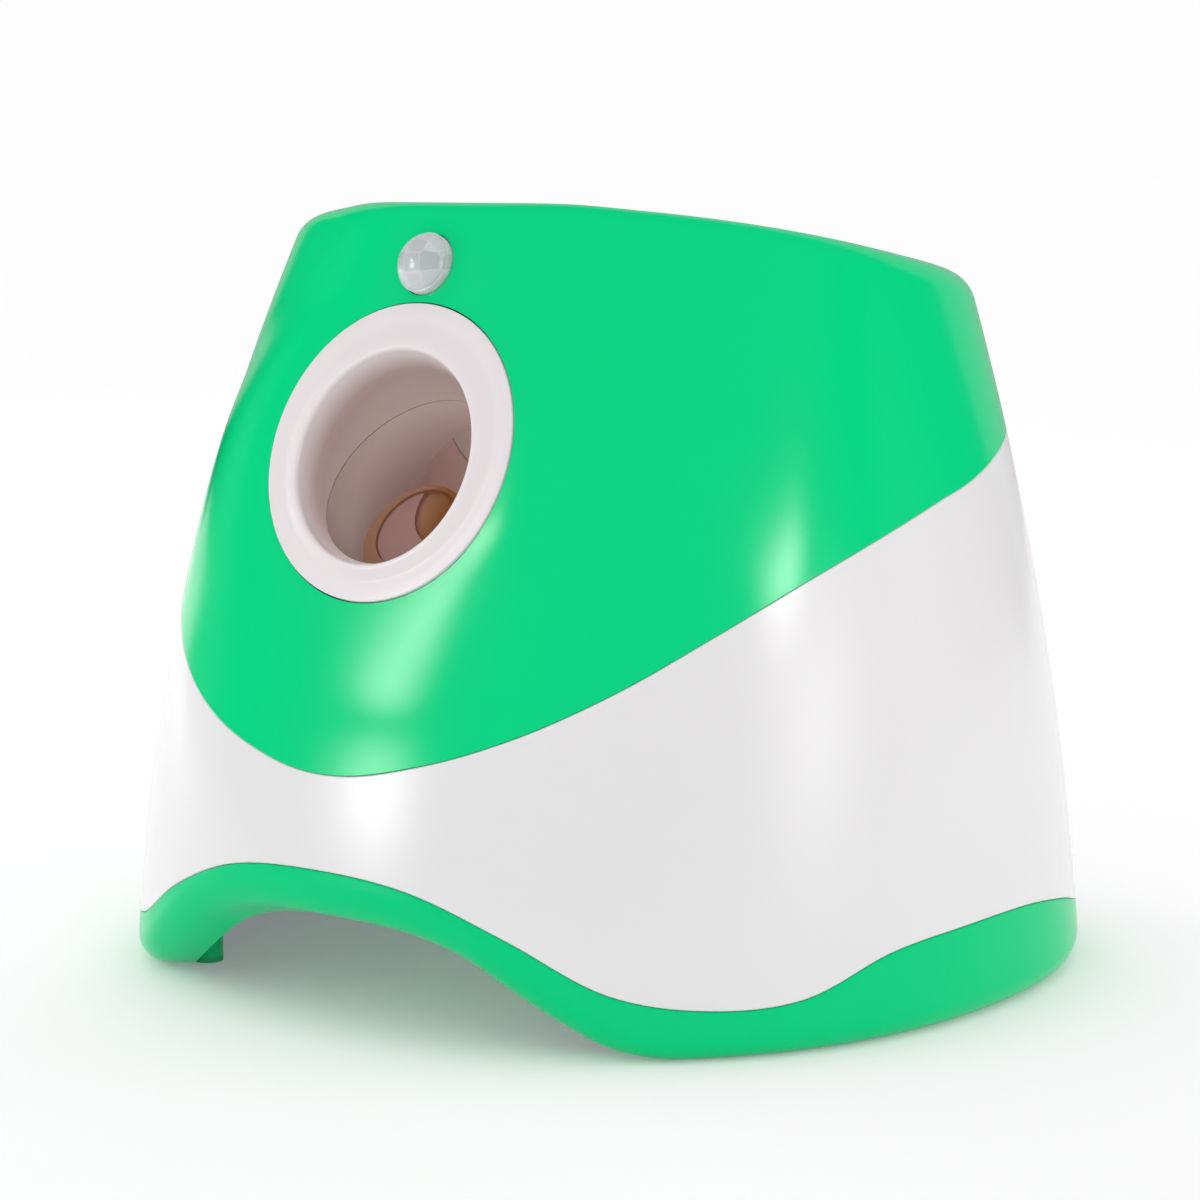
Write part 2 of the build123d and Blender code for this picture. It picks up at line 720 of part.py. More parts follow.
def motor_shaft():
    start = first_x - 0.2
    end = right_plate_x + plate_thickness + 12.0
    return axle_plane(motor_point, start) * rod(motor_shaft_radius, end - start)


def axle(point, radius, start=left_plate_x - plate_thickness - axle_overhang):
    end = right_plate_x + plate_thickness + axle_overhang
    return axle_plane(point, start) * rod(radius, end - start)


# ---------------------------------------------------------------- gearbox and motor
pillar_points = [(-36.0, 38.0), (-110.0, 87.0), (-84.0, 47.5)]
pillar_radius = 3.0
foot_front, foot_back = -78.0, -32.0


def plate_outline():
    """(y, z) outline shared by both gearbox plates."""
    middle_top = floor_middle_height + floor_thickness
    saddle_high = -22.0
    return [
        (foot_front, middle_top), (foot_back, middle_top), (foot_back + 2.0, 50.0),
        barrel_point(86.0, -barrel_bore - barrel_wall - 1.0), barrel_point(84.0, saddle_high),
        barrel_point(40.0, saddle_high), (-104.0, 98.0), (-113.5, 92.0), (-113.5, 43.0), (-82.0, 43.0),
    ]


def gearbox_plate(x, foot_side):
    """Upright plate with axle holes, a saddle for the barrel and a foot."""
    plate = yz_plate(plate_outline(), x, plate_thickness)
    middle_top = floor_middle_height + floor_thickness
    foot_width = 10.0
    foot_low_x = x + plate_thickness if foot_side > 0 else x - foot_width
    foot_high = (foot_low_x + foot_width, foot_back, middle_top + 2.5)
    plate += box_between((foot_low_x, foot_front, middle_top), foot_high)
    saddle_length = bulkhead_station + bulkhead_thickness + 0.4
    plate -= down_barrel(0.0) * rod(barrel_bore + barrel_wall + 0.2, saddle_length)
    for point, radius in ((sector_point, sector_axle_radius), (first_point, small_axle_radius)):
        plate -= axle_plane(point, x - 1.0) * rod(radius, plate_thickness + 2.0)
    for y in foot_screw_places():
        plate -= Pos(foot_low_x + foot_width / 2, y, 0) * rod(screw_radius, 60.0)
    return plate


def foot_screw_places():
    return foot_front + 8.0, foot_back - 8.0


def gearbox_left_plate():
    plate = gearbox_plate(left_plate_x - plate_thickness, -1)
    for point in pillar_points:
        pillar = axle_plane(point, left_plate_x) * rod(pillar_radius, right_plate_x - left_plate_x)
        plate += pillar - axle_plane(point, right_plate_x - 10.0) * rod(screw_radius, 20.0)
    return plate


def gearbox_right_plate():
    plate = gearbox_plate(right_plate_x, 1)
    for point, radius in ((motor_point, motor_boss_radius + 0.2), (second_point, small_axle_radius)):
        plate -= axle_plane(point, right_plate_x - 1.0) * rod(radius, plate_thickness + 2.0)
    for point in pillar_points:
        plate -= axle_plane(point, right_plate_x - 1.0) * rod(screw_radius, plate_thickness + 2.0)
    return plate


def gearbox_screws():
    """Screws into the pillars, and down through the feet into the floor."""
    screws = []
    outside = right_plate_x + plate_thickness
    for point in pillar_points:
        shank = axle_plane(point, outside - 10.0) * rod(screw_radius, 10.0)
        head = axle_plane(point, outside) * rod(screw_head_radius, screw_head_height)
        screws.append(shank + head)
    foot_top = floor_middle_height + floor_thickness + 2.5
    for x in (left_plate_x - plate_thickness - 5.0, outside + 5.0):
        for y in foot_screw_places():
            shank = Pos(x, y, foot_top - 2.5) * rod(screw_radius, 2.5)
            head = Pos(x, y, foot_top) * rod(screw_head_radius, screw_head_height)
            screws.append(shank + head)
    return screws


def drive_motor():
    """Motor can, its front boss in the plate, the rear bearing and two terminals."""
    face = right_plate_x + plate_thickness
    can = axle_plane(motor_point, face) * rod(motor_radius, motor_length)
    can = fillet(can.edges().filter_by(GeomType.CIRCLE), 1.0)
    boss_start = face - motor_boss_height
    can += axle_plane(motor_point, boss_start) * rod(motor_boss_radius, motor_boss_height + 1.0)
    can += axle_plane(motor_point, face + motor_length) * rod(4.0, 2.0)
    can -= axle_plane(motor_point, face - 5.0) * rod(motor_shaft_radius + shaft_gap, 18.0)
    y, z = motor_point
    tag_start = face + motor_length - 0.5
    for side in (-1, 1):
        middle = z + side * 7.0
        can += box_between((tag_start, y - 1.2, middle - 0.3), (tag_start + 4.5, y + 1.2, middle + 0.3))
    return can


def limit_switch():
    """Small lever switch on the left plate, beside the sector gear."""
    outside = left_plate_x - plate_thickness
    y, z = sector_point
    body = box_between((outside - 5.8, y - 20.0, z - 16.0), (outside, y - 7.2, z - 9.5))
    lever = box_between((outside - 4.6, y - 19.0, z - 9.5), (outside - 1.2, y - 18.2, z - 7.0))
    lever += box_between((outside - 4.6, y - 19.0, z - 7.4), (outside - 1.2, y - 6.0, z - 7.0))
    return body + lever


# ---------------------------------------------------------------- motion sensor
def sensor_lens():
    """Dome with a skirt and a flange that bears on the hood from inside."""
    ball_radius = (lens_radius**2 + lens_rise**2) / (2 * lens_rise)
    inner_ball = ball_radius - lens_wall
    centre = lens_rise - ball_radius
    above = Box(60, 60, 60, align=FROM_BASE)
    dome = Pos(0, 0, centre) * Sphere(ball_radius) & above
    skirt = Pos(0, 0, -lens_skirt_depth) * rod(lens_radius, lens_skirt_depth)
    flange = Pos(0, 0, -lens_flange_depth - 1.4) * rod(lens_flange_radius, 1.4)
    hollow = Pos(0, 0, centre) * Sphere(inner_ball) & above
    hollow += Pos(0, 0, -lens_skirt_depth) * rod(lens_radius - lens_wall, lens_skirt_depth)
    return sensor_plane() * (dome + skirt + flange - hollow)


def sensor_board():
    return sensor_plane(-lens_skirt_depth - board_thickness) * rod(sensor_board_radius, board_thickness)


def sensor_can():
    can = sensor_plane(-lens_skirt_depth) * rod(sensor_can_radius, sensor_can_height)
    return fillet(can.edges().sort_by(Axis.Z)[-1:], 0.5)


# ---------------------------------------------------------------- control panel
def panel_plane(out=0.0):
    """A plane on the back of the housing that faces the user. Local x is -X, local y is up."""
    fraction = panel_height / full_height
    back = reach(fraction, back_middle, back_top)
    lean = radians(panel_tilt)
    normal = (0, cos(lean), sin(lean))
    return Plane(
        origin=(0, back + out * normal[1], panel_height + out * normal[2]), x_dir=(-1, 0, 0), z_dir=normal
    )


def panel_block(width, tall, depth, corner=0.0):
    corner = corner if corner else panel_corner + panel_frame_wall
    return panel_plane(-depth / 2) * extrude(RectangleRounded(width, tall, corner), depth)


def panel_frame_block():
    """Block that leaves a frame round the panel, as deep as the frame."""
    wall = panel_frame_wall
    block = RectangleRounded(panel_width + 2 * wall, panel_tall + 2 * wall, panel_corner + wall)
    return panel_plane(-panel_frame_depth) * extrude(block, 40.0)


def panel_ledge():
    """Ledge all round inside the frame, for the panel to sit on."""
    low = -panel_recess - panel_thickness - 2.0
    ring = RectangleRounded(panel_width + 1.0, panel_tall + 1.0, panel_corner + 0.5)
    ring -= RectangleRounded(panel_width - 4.0, panel_tall - 4.0, panel_corner - 2.0)
    return panel_plane(low) * extrude(ring, 2.0)


def control_panel():
    gap = panel_gap
    face = RectangleRounded(panel_width - 2 * gap, panel_tall - 2 * gap, panel_corner - gap)
    panel = extrude(face, panel_thickness)
    cuts = Part()
    for side in (-1, 1):
        cuts += Pos(side * button_x, 0, -1) * rod(button_radius + panel_gap, 10.0)
    for index in (-1, 0, 1):
        cuts += Pos(index * light_spacing, light_offset, -1) * rod(light_radius, 10.0)
    cuts += Pos(0, jack_offset, -1) * rod(jack_radius + 0.2, 10.0)
    for column in range(-2, 3):
        cuts += Pos(button_x + column * 2.6, -14.0, -1) * rod(0.7, 10.0)
    panel -= cuts
    for x in (-32.0, 32.0):
        for y in (-12.0, 12.0):
            panel += Pos(x, y, -pillar_length()) * rod(2.0, pillar_length())
    return panel_plane(-panel_recess - panel_thickness) * panel


def pillar_length():
    """From the back of the panel to its board."""
    return button_board_depth - panel_recess - panel_thickness


def push_button(side):
    """Round cap with a flange behind the panel and a stem towards its switch."""
    cap_height = panel_thickness + button_rise
    cap = rod(button_radius, cap_height)
    cap = fillet(cap.edges().sort_by(Axis.Z)[-1:], 1.0)
    flange = Pos(0, 0, -button_flange_height - 0.2) * rod(button_flange_radius, button_flange_height)
    neck = Pos(0, 0, -0.3) * rod(button_radius - 1.0, 0.4)
    stem_length = button_board_depth - panel_recess - panel_thickness - switch_height - button_travel - 0.4
    stem = Pos(0, 0, -stem_length) * rod(2.0, stem_length)
    whole = cap + flange + neck + stem
    return panel_plane(-panel_recess - panel_thickness) * (Pos(side * button_x, 0, 0) * whole)


def button_board():
    plane = panel_plane(-button_board_depth - board_thickness)
    board = extrude(RectangleRounded(panel_width - 8.0, panel_tall - 10.0, 3.0), board_thickness)
    return plane * (board - Pos(0, jack_offset, -1) * rod(jack_radius + 0.6, 10.0))


def button_switches():
    plane = panel_plane(-button_board_depth)
    body = Box(switch_size, switch_size, switch_height - 0.8, align=FROM_BASE)
    body += Pos(0, 0, switch_height - 0.9) * rod(1.7, 0.9)
    return [plane * (Pos(side * button_x, 0, 0) * body) for side in (-1, 1)]


def indicator_lights():
    plane = panel_plane(-button_board_depth)
    length = button_board_depth - panel_recess + 0.3
    light = fillet(rod(light_radius, length).edges().sort_by(Axis.Z)[-1:], 0.6)
    return [plane * (Pos(index * light_spacing, light_offset, 0) * light) for index in (-1, 0, 1)]


def dc_jack():
    """Barrel socket for the adaptor, fixed in the panel."""
    plane = panel_plane(-panel_recess - panel_thickness - jack_depth)
    tube = rod(jack_radius, jack_depth + panel_thickness)
    tube -= Pos(0, 0, 2.0) * rod(jack_radius - 1.2, 40.0)
    tube += Pos(0, 0, 1.0) * rod(jack_pin_radius, jack_depth)
    return plane * (Pos(0, jack_offset, 0) * tube)


# ---------------------------------------------------------------- battery box, door and main board
def cell_centres():
    """Middle of each cell, lying along X above the floor."""
    z = floor_back_height + floor_thickness + cell_radius + cell_gap
    places = []
    first_row = battery_row_start + battery_box_wall + cell_gap + cell_radius
    for row in range(cell_rows):
        y = first_row + row * (2 * cell_radius + cell_gap)
        for column in range(cell_columns):
            x = (column - (cell_columns - 1) / 2) * cell_length
            places.append((x, y, z))
    return places


def box_inside():
    """Low and high corners of the space for the cells."""
    half_x = cell_columns * cell_length / 2 + contact_thickness + 2.5
    low_z = floor_back_height + floor_thickness
    depth = cell_rows * (2 * cell_radius + cell_gap) + cell_gap
    low_y = battery_row_start + battery_box_wall
    return (-half_x, low_y, low_z), (half_x, low_y + depth, low_z + 2 * cell_radius + 2 * cell_gap)


def battery_box():
    """Tray open to the underside, screwed on the floor."""
    low, high = box_inside()
    wall = battery_box_wall
    outer_high = (high[0] + wall, high[1] + wall, high[2] + wall)
    outside = box_between((low[0] - wall, low[1] - wall, low[2]), outer_high)
    return outside - box_between((low[0], low[1], low[2] - 1.0), high)


def battery_cells():
    cells = []
    for x, y, z in cell_centres():
        start = Pos(x - cell_length / 2, y, z) * Rot(0, 90, 0)
        body = start * rod(cell_radius, cell_length - 2.0)
        button = start * rod(3.5, cell_length)
        cells.append(body + button)
    return cells


def battery_contacts():
    """Sprung plates at both ends of each row."""
    low, high = box_inside()
    plates = []
    for side in (-1, 1):
        for row in range(cell_rows):
            x, y, z = cell_centres()[row * cell_columns]
            at = side * high[0]
            inner = at - side * contact_thickness
            plate = box_between((min(at, inner), y - 10, z - 9), (max(at, inner), y + 10, z + 9))
            cone = Cone(5.0, 3.0, 2.5, align=FROM_BASE)
            turn = -90 * side
            plates.append(plate + Pos(inner, y, z) * Rot(0, turn, 0) * cone)
    return plates


def door_opening():
    """Low and high corners of the battery opening in the floor."""
    low, high = box_inside()
    return (low[0], low[1], floor_back_height), (high[0], high[1], floor_back_height + floor_thickness)


def door_axis():
    """(y, z) of the battery door's hinge pin, below the floor at the front of the opening."""
    low, high = door_opening()
    return low[1] - 3.0, floor_back_height - door_pin_radius - 1.6


def hinge_barrel(x_middle, width, radius):
    y, z = door_axis()
    return axle_plane((y, z), x_middle - width / 2) * rod(radius, width)


def door_ears():
    """Ears under the floor that carry the door's pin."""
    y, z = door_axis()
    half = door_pin_radius + 1.5
    ears = Part()
    for x in (-60.0, 60.0):
        ear = hinge_barrel(x, 6.0, half)
        ear += box_between((x - 3.0, y - half, z), (x + 3.0, y + half, floor_back_height + 1.0))
        ears += ear - hinge_barrel(x, 10.0, door_pin_radius)
    return ears


def battery_door():
    """Flat lid that fills the opening, with a hinge knuckle beside each ear."""
    low, high = door_opening()
    gap = door_gap
    lid = box_between(
        (low[0] + gap, low[1] + gap, low[2]), (high[0] - gap, high[1] - gap, low[2] + door_thickness)
    )
    y, z = door_axis()
    knuckle_radius = door_pin_radius + 1.5
    arm_low = z - knuckle_radius
    arm_end = low[1] + 8.0
    for x in (-52.0, 52.0):
        knuckle = hinge_barrel(x, 8.0, knuckle_radius)
        arm = box_between((x - 4.0, y, arm_low), (x + 4.0, arm_end, arm_low + 2.0))
        riser = box_between((x - 4.0, arm_end - 4.0, arm_low), (x + 4.0, arm_end, low[2] + 0.5))
        lid += knuckle + arm + riser - hinge_barrel(x, 12.0, door_pin_radius + shaft_gap)
    screw_x, screw_y = 0.0, high[1] - 6.0
    lid -= Pos(screw_x, screw_y, 0) * rod(screw_radius, 60.0)
    return lid


def battery_door_pin():
    return hinge_barrel(0.0, 126.0, door_pin_radius)


def battery_door_screw():
    low, high = door_opening()
    shank = Pos(0, high[1] - 6.0, low[2]) * rod(screw_radius, door_thickness)
    head = Pos(0, high[1] - 6.0, low[2] - screw_head_height) * rod(screw_head_radius, screw_head_height)
    return shank + head


board_width, board_depth, board_lift = 84.0, 46.0, 4.0


def board_base():
    """(y, z) of the middle of the main board's underside."""
    low, high = box_inside()
    return (low[1] + high[1]) / 2, high[2] + battery_box_wall + board_lift


def main_board():
    y, z = board_base()
    board = Pos(0, y, z) * Box(board_width, board_depth, board_thickness, align=FROM_BASE)
    for x in (-board_width / 2 + 5, board_width / 2 - 5):
        for step in (-board_depth / 2 + 5, board_depth / 2 - 5):
            board += Pos(x, y + step, z - board_lift) * rod(2.2, board_lift)
    return board


def board_parts(places):
    y, z = board_base()
    blocks = []
    for x, step, width, depth, height in places:
        blocks.append(Pos(x, y + step, z + board_thickness) * Box(width, depth, height, align=FROM_BASE))
    return blocks


def board_chips():
    return board_parts([
        (-8, 4, 12, 8, 1.6), (14, -6, 6, 5, 1.4), (-26, -8, 9, 6, 2.2), (20, 12, 15, 11, 9.0),
    ])


def board_connectors():
    return board_parts([(-34, 14, 10, 6, 6.0), (34, -14, 6, 10, 6.0), (0, -19, 12, 6, 6.0)])


def buzzer():
    y, z = board_base()
    disc = Pos(-14, y + 14, z + board_thickness) * rod(6.0, 7.5)
    return disc - Pos(-14, y + 14, z + board_thickness + 6.5) * rod(1.2, 3.0)


# ---------------------------------------------------------------- wires held inside
lead_radius = 1.1


def lead(points):
    """Wire along straight runs joined by arcs, each as large as its two runs allow."""
    runs = [Vector(*b) - Vector(*a) for a, b in zip(points, points[1:])]
    radii = []
    for before, after in zip(runs, runs[1:]):
        turn = radians(before.get_angle(after))
        radii.append(0.45 * min(before.length, after.length) / tan(turn / 2))
    path = FilletPolyline(*points, radius=radii)
    section = Plane(origin=path @ 0, z_dir=path % 0) * Circle(lead_radius)
    return sweep(section, path=path)


def motor_lead():
    y, z = motor_point
    board_y, board_z = board_base()
    start = right_plate_x + plate_thickness + motor_length + 4.6
    return lead([
        (start, y, z + 7.0), (start + 12, y + 8, z + 6), (start + 18, y + 30, z + 2),
        (start + 18, y + 62, z - 2), (start + 14, y + 96, z + 4), (start + 4, y + 122, z + 14),
        (46, board_y - 17, board_z + 5),
        (37.7, board_y - 14, board_z + 4.6),
    ])


def sensor_lead():
    board_y, board_z = board_base()
    return lead([
        (8, -66.9, 194.5), (17, -62.5, 189), (31, -61, 176), (42, -54, 160), (46, -30, 138), (44, 0, 116),
        (38, 20, 98), (24, 36, 84), (10, board_y - 20, board_z + 15), (3, board_y - 19, board_z + 8.4),
    ])


def battery_lead():
    low, high = box_inside()
    board_y, board_z = board_base()
    top = high[2] + battery_box_wall
    return lead([
        (-66, board_y + 6, top + 0.1), (-66, board_y + 7, top + 8), (-58, board_y + 9, top + 13),
        (-47, board_y + 12, board_z + 7), (-39.7, board_y + 14, board_z + 4.6),
    ])


# ---------------------------------------------------------------- output
def write(name, shape):
    if isinstance(shape, list):
        shape = Compound(children=[one if isinstance(one, Solid) else one.solids()[0] for one in shape])
    export_step(shape, f"parts/{name}.step")


write("hood", hood())
write("body_shell", body_shell())
write("base_trim", base_trim())
write("base_plate", base_plate())
write("foot_pads", foot_pads())
write("housing_screws", housing_screws())
write("muzzle_ring", muzzle_ring())
write("launch_barrel", launch_barrel())
write("barrel_end_cap", barrel_end_cap())
write("striker", striker())
write("striker_pad", striker_pad())
write("drive_spring", drive_spring())
write("hopper", hopper())
write("feed_sensors", feed_sensors())
write("sector_gear", sector_gear())
write("second_gear", second_gear())
write("first_gear", first_gear())
write("motor_pinion", motor_pinion())
write("motor_shaft", motor_shaft())
write("sector_axle", axle(sector_point, sector_axle_radius))
write("second_axle", axle(second_point, small_axle_radius, start=wheel_x))
write("first_axle", axle(first_point, small_axle_radius))
write("gearbox_left_plate", gearbox_left_plate())
write("gearbox_right_plate", gearbox_right_plate())
write("gearbox_screws", gearbox_screws())
write("drive_motor", drive_motor())
write("limit_switch", limit_switch())
write("sensor_lens", sensor_lens())
write("sensor_board", sensor_board())
write("sensor_can", sensor_can())
write("control_panel", control_panel())
write("power_button", push_button(-1))
write("mode_button", push_button(1))
write("button_board", button_board())
write("button_switches", button_switches())
write("indicator_lights", indicator_lights())
write("dc_jack", dc_jack())
write("battery_box", battery_box())
write("battery_cells", battery_cells())
write("battery_contacts", battery_contacts())
write("battery_door", battery_door())
write("battery_door_pin", battery_door_pin())
write("battery_door_screw", battery_door_screw())
write("main_board", main_board())
write("board_chips", board_chips())
write("board_connectors", board_connectors())
write("buzzer", buzzer())
write("motor_lead", motor_lead())
write("sensor_lead", sensor_lead())
write("battery_lead", battery_lead())
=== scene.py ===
"""Looks of the dog ball launcher: glossy green and white moulded shells round a slanted muzzle."""

import math

import bmesh
import bpy
from mathutils import Matrix, Vector


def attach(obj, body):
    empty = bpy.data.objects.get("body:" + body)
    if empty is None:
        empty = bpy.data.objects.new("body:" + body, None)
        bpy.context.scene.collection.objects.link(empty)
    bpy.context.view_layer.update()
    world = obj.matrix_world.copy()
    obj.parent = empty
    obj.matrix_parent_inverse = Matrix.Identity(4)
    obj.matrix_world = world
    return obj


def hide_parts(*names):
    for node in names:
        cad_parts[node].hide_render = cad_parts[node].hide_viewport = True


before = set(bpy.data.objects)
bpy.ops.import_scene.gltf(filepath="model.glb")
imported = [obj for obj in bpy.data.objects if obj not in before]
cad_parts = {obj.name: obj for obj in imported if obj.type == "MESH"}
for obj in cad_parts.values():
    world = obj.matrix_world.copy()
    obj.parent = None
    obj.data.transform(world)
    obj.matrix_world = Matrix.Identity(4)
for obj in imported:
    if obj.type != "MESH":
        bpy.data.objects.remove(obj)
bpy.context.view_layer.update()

MM = 0.001

# ------------------------------------------------------------ housing outline, in millimetres
FULL_HEIGHT = 222.0
FOOT_RADIUS = 135.36
SIDE_REACH = (123.28, 94.36)
FRONT_REACH = (116.39, 67.98)
BACK_REACH = (117.37, 95.2)
CORNER_POWER = 2.2
WALL = 2.6
SEAM = 0.16
EDGE_TURN = 0.3
# columns of each shell's grid, and the angles in degrees over which an edge is left sharp
HOOD_COLUMNS, BODY_COLUMNS, SKIRT_COLUMNS, RING_COLUMNS = 288, 240, 288, 192
SHELL_SHARP, RING_SHARP = 35, 30

# tongues of the body behind the hood and the skirt: their reach, where they leave the wall, their insets
UPPER_LAP, LAP_ROOT, LAP_START = 5.5, 6.0, 8.0
UPPER_INSETS = (2.8, 2.9, 5.0)
LOWER_LAP, LAP_FLOOR = 6.0, 4.0
LOWER_INSETS = (3.3, 5.5)

# rim of the hood: top at the front, fall toward the back, and the edge turned down over the hopper's lip
RIM_TOP = 220.7
RIM_START, RIM_EASE = 68.0, 0.5
RIM_FALL = (221.9, 0.245, 0.0006)
RIM_ROUND = (8.0, 12.0)
RIM_BAND = 14.0
RIM_LIP_DEPTH, RIM_LIP_WALL = 1.5, 1.2

# skirt
SKIRT_WALL = 3.0
FLANGE_DEPTH = 14.0
FOOT_ROUND = 8.0

# heights of the seams and of the foot's edge: degrees between two of them, then the heights, front to back
HOOD_EDGE = (
    12.0,
    (69.6, 74.6, 83.6, 95.5, 108.8, 120.9, 130.5, 138.3)
    + (144.9, 151.0, 155.0, 155.2, 151.9, 147.0, 142.7, 141.0),
)
SKIRT_EDGE = (
    12.0,
    (44.5, 41.7, 31.6, 18.5, 14.0, 15.1, 24.0, 26.7, 26.6, 22.8, 17.0, 14.6, 14.3, 14.3, 14.3, 14.3),
)
ARCH_EDGE = (6.0, (33.3, 33.1, 32.0, 28.0, 20.2, 12.0, 4.4, 0.7) + 23 * (0.0,))
# the rolled lip under the arch hangs lower at its inner edge than at the skin
ROLL_EDGE = (6.0, (29.5, 28.9, 26.6, 22.2, 15.0, 8.0, 2.4, 0.2) + 23 * (0.0,))

# muzzle and sensor
MUZZLE_FRONT, MUZZLE_HEIGHT = 99.6, 154.3
MUZZLE_AT = Vector((0.0, -MUZZLE_FRONT, MUZZLE_HEIGHT))
MUZZLE_LEAN = math.radians(19.5)
BARREL_LEAN = math.radians(40.0)
RING_RADIUS = 41.84
BORE_RADIUS = 27.5
LIP_RADIUS = 29.9
LIP_PROUD = 1.9
LIP_DROP = 1.8
FACE_RADIUS = 38.0
RING_WALL = 2.5
SEAM_STATION = 13.95
RING_GAP = 0.35
LENS_HEIGHT = 204.6
LENS_SHIFT = Vector((-0.8, -1.7, 0))
LENS_LEAN = math.radians(20.0)
LENS_RADIUS = 8.6
LENS_RISE = 5.7
LENS_SKIRT = 7.0
LENS_GAP = 0.25

# flat of the front: how it lies behind the ring's face, how wide it is, and how it fades below and above
SET_BACK = 0.5
PLANE_EASE = 0.5
FLAT_HALF, SENSOR_HALF = 40.0, 14.0
NARROWING, NARROWING_RUN = 15.0, 55.0
FLAT_LOW, FLAT_FADE = 67.0, 58.0
LEVEL_TOP, LEVEL_FADE = 92.0, 38.0
# share of the half width at which the flat has met the sides, at the muzzle and lost above it
SIDE_SHARE, SIDE_LOSS, SIDE_RUN = 0.86, 0.26, 60.0
CENTRE_RUN = 75.0


# ------------------------------------------------------------ shape helpers
def reach(height, limits):
    """Distance from the middle to the skin at a height, for one side."""
    part = height / FULL_HEIGHT
    middle, top = limits
    return (
        FOOT_RADIUS * (2 * part - 1) * (part - 1)
        + 4 * middle * part * (1 - part)
        + top * part * (2 * part - 1)
    )


def skin(turn, height, inset=0.0):
    """Point on the housing, turn radians round from the front towards +X."""
    across, along = math.sin(turn), -math.cos(turn)
    side = reach(height, SIDE_REACH) - inset
    depth = reach(height, BACK_REACH if along > 0 else FRONT_REACH) - inset
    power = 2 / CORNER_POWER
    x = math.copysign(side * abs(across) ** power, across)
    y = math.copysign(depth * abs(along) ** power, along)
    if along < 0:
        y = flat_front(abs(x), height, side, depth, y, inset)
    return Vector((x, y, height))


def smooth_share(value):
    """Rises from 0 to 1 without a kink in slope."""
    value = min(1.0, max(0.0, value))
    return value * value * (3 - 2 * value)


def smoother_share(value):
    """Rises from 0 to 1 without a kink in slope or bend."""
    value = min(1.0, max(0.0, value))
    return value**3 * (value * (6 * value - 15) + 10)


def flat_front(x, height, side, depth, y, inset):
    """Brings the front to the flat of the muzzle ring and of the sensor above it."""
    up_plane = (height - MUZZLE_HEIGHT) / math.cos(MUZZLE_LEAN)
    above = max(up_plane, 0.0)
    plane_y = (height - MUZZLE_HEIGHT) * math.tan(MUZZLE_LEAN) - MUZZLE_FRONT
    plane_y += (SET_BACK + inset) / math.cos(MUZZLE_LEAN)
    flat_half = FLAT_HALF - NARROWING * smooth_share(-up_plane / NARROWING_RUN)
    if up_plane < 0.0:
        level = plane_y + PLANE_EASE * math.log(1 + math.exp((-depth - plane_y) / PLANE_EASE))
    else:
        level = -depth + (plane_y + depth) * smoother_share((LEVEL_TOP - above) / LEVEL_FADE)
    if above > 0.0:
        across_sensor = SENSOR_HALF**2 * smooth_share(above / FLAT_HALF)
        flat_half = math.sqrt(max(0.0, FLAT_HALF**2 - above**2) + across_sensor)
    ratio = SIDE_SHARE - SIDE_LOSS * smooth_share(above / SIDE_RUN)
    blend_end = side * ratio
    if x <= flat_half:
        target = level
    elif x >= blend_end:
        target = y
    else:
        round_off = 1 - ratio**CORNER_POWER
        slope = depth / side * ratio ** (CORNER_POWER - 1) * round_off ** (1 / CORNER_POWER - 1)
        span = blend_end - flat_half
        share = (x - flat_half) / span
        rise = -depth * round_off ** (1 / CORNER_POWER) - level
        target = level + rise * share**2 * (3 - 2 * share) + slope * span * share**2 * (share - 1)
    rounded = y + (level + depth) * smoother_share(1 - x / CENTRE_RUN)
    return rounded + (target - rounded) * smoother_share((FLAT_LOW + up_plane) / FLAT_FADE)


def along_table(table, turn):
    """Smooth value of a table of heights, the same on both sides of the housing."""
    step, values = table
    place = abs(math.degrees(turn)) % 360
    place = min(place, 360 - place) / step
    index = min(int(place), len(values) - 2)
    share = place - index
    last = len(values) - 1

    def value(at):
        return values[abs(at) if at <= last else 2 * last - at]

    before, start, end, after = value(index - 1), value(index), value(index + 1), value(index + 2)
    curl = 2 * before - 5 * start + 4 * end - after
    twist = 3 * (start - end) + after - before
    return start + 0.5 * share * (end - before + share * (curl + share * twist))


def rim_height(y):
    """Height of the slanted rim's surface, levelling off at the front."""
    back = y + RIM_START
    start, slope, curve = RIM_FALL
    slanted = start - slope * back + curve * back * back
    return RIM_TOP - RIM_EASE * math.log(1 + math.exp((RIM_TOP - slanted) / RIM_EASE))


def on_rim(turn, inset, drop=0.0):
    """Point of the rim's surface at an inset from the skin."""
    # a first guess, which every round betters
    height = 205.0
    for _ in range(12):
        height = rim_height(skin(turn, height, inset).y) - drop
    return skin(turn, height, inset)


def plane_matrix(at, lean):
    """Local Z points out of the front and up by lean, local X stays X, local Y is up the plane."""
    out = Vector((0, -math.cos(lean), math.sin(lean)))
    up = Vector((0, math.sin(lean), math.cos(lean)))
    across = Vector((1, 0, 0))
    rotation = Matrix((across, up, out)).transposed().to_4x4()
    return Matrix.Translation(at) @ rotation


MUZZLE = plane_matrix(MUZZLE_AT, MUZZLE_LEAN)
BARREL_DOWN = Vector((0, math.cos(BARREL_LEAN), -math.sin(BARREL_LEAN)))
BARREL_UP = Vector((0, math.sin(BARREL_LEAN), math.cos(BARREL_LEAN)))


def quarter(start, corner, end, count):
    """Round-over between two straight runs that meet at a corner."""
    to_start, to_end = (start - corner).normalized(), (end - corner).normalized()
    weight = math.sin(math.acos(max(-1.0, min(1.0, to_start.dot(to_end)))) / 2)
    points = []
    for step in range(count + 1):
        share = step / count
        a, b, c = (1 - share) ** 2, 2 * share * (1 - share) * weight, share * share
        points.append((start * a + corner * b + end * c) / (a + b + c))
    return points


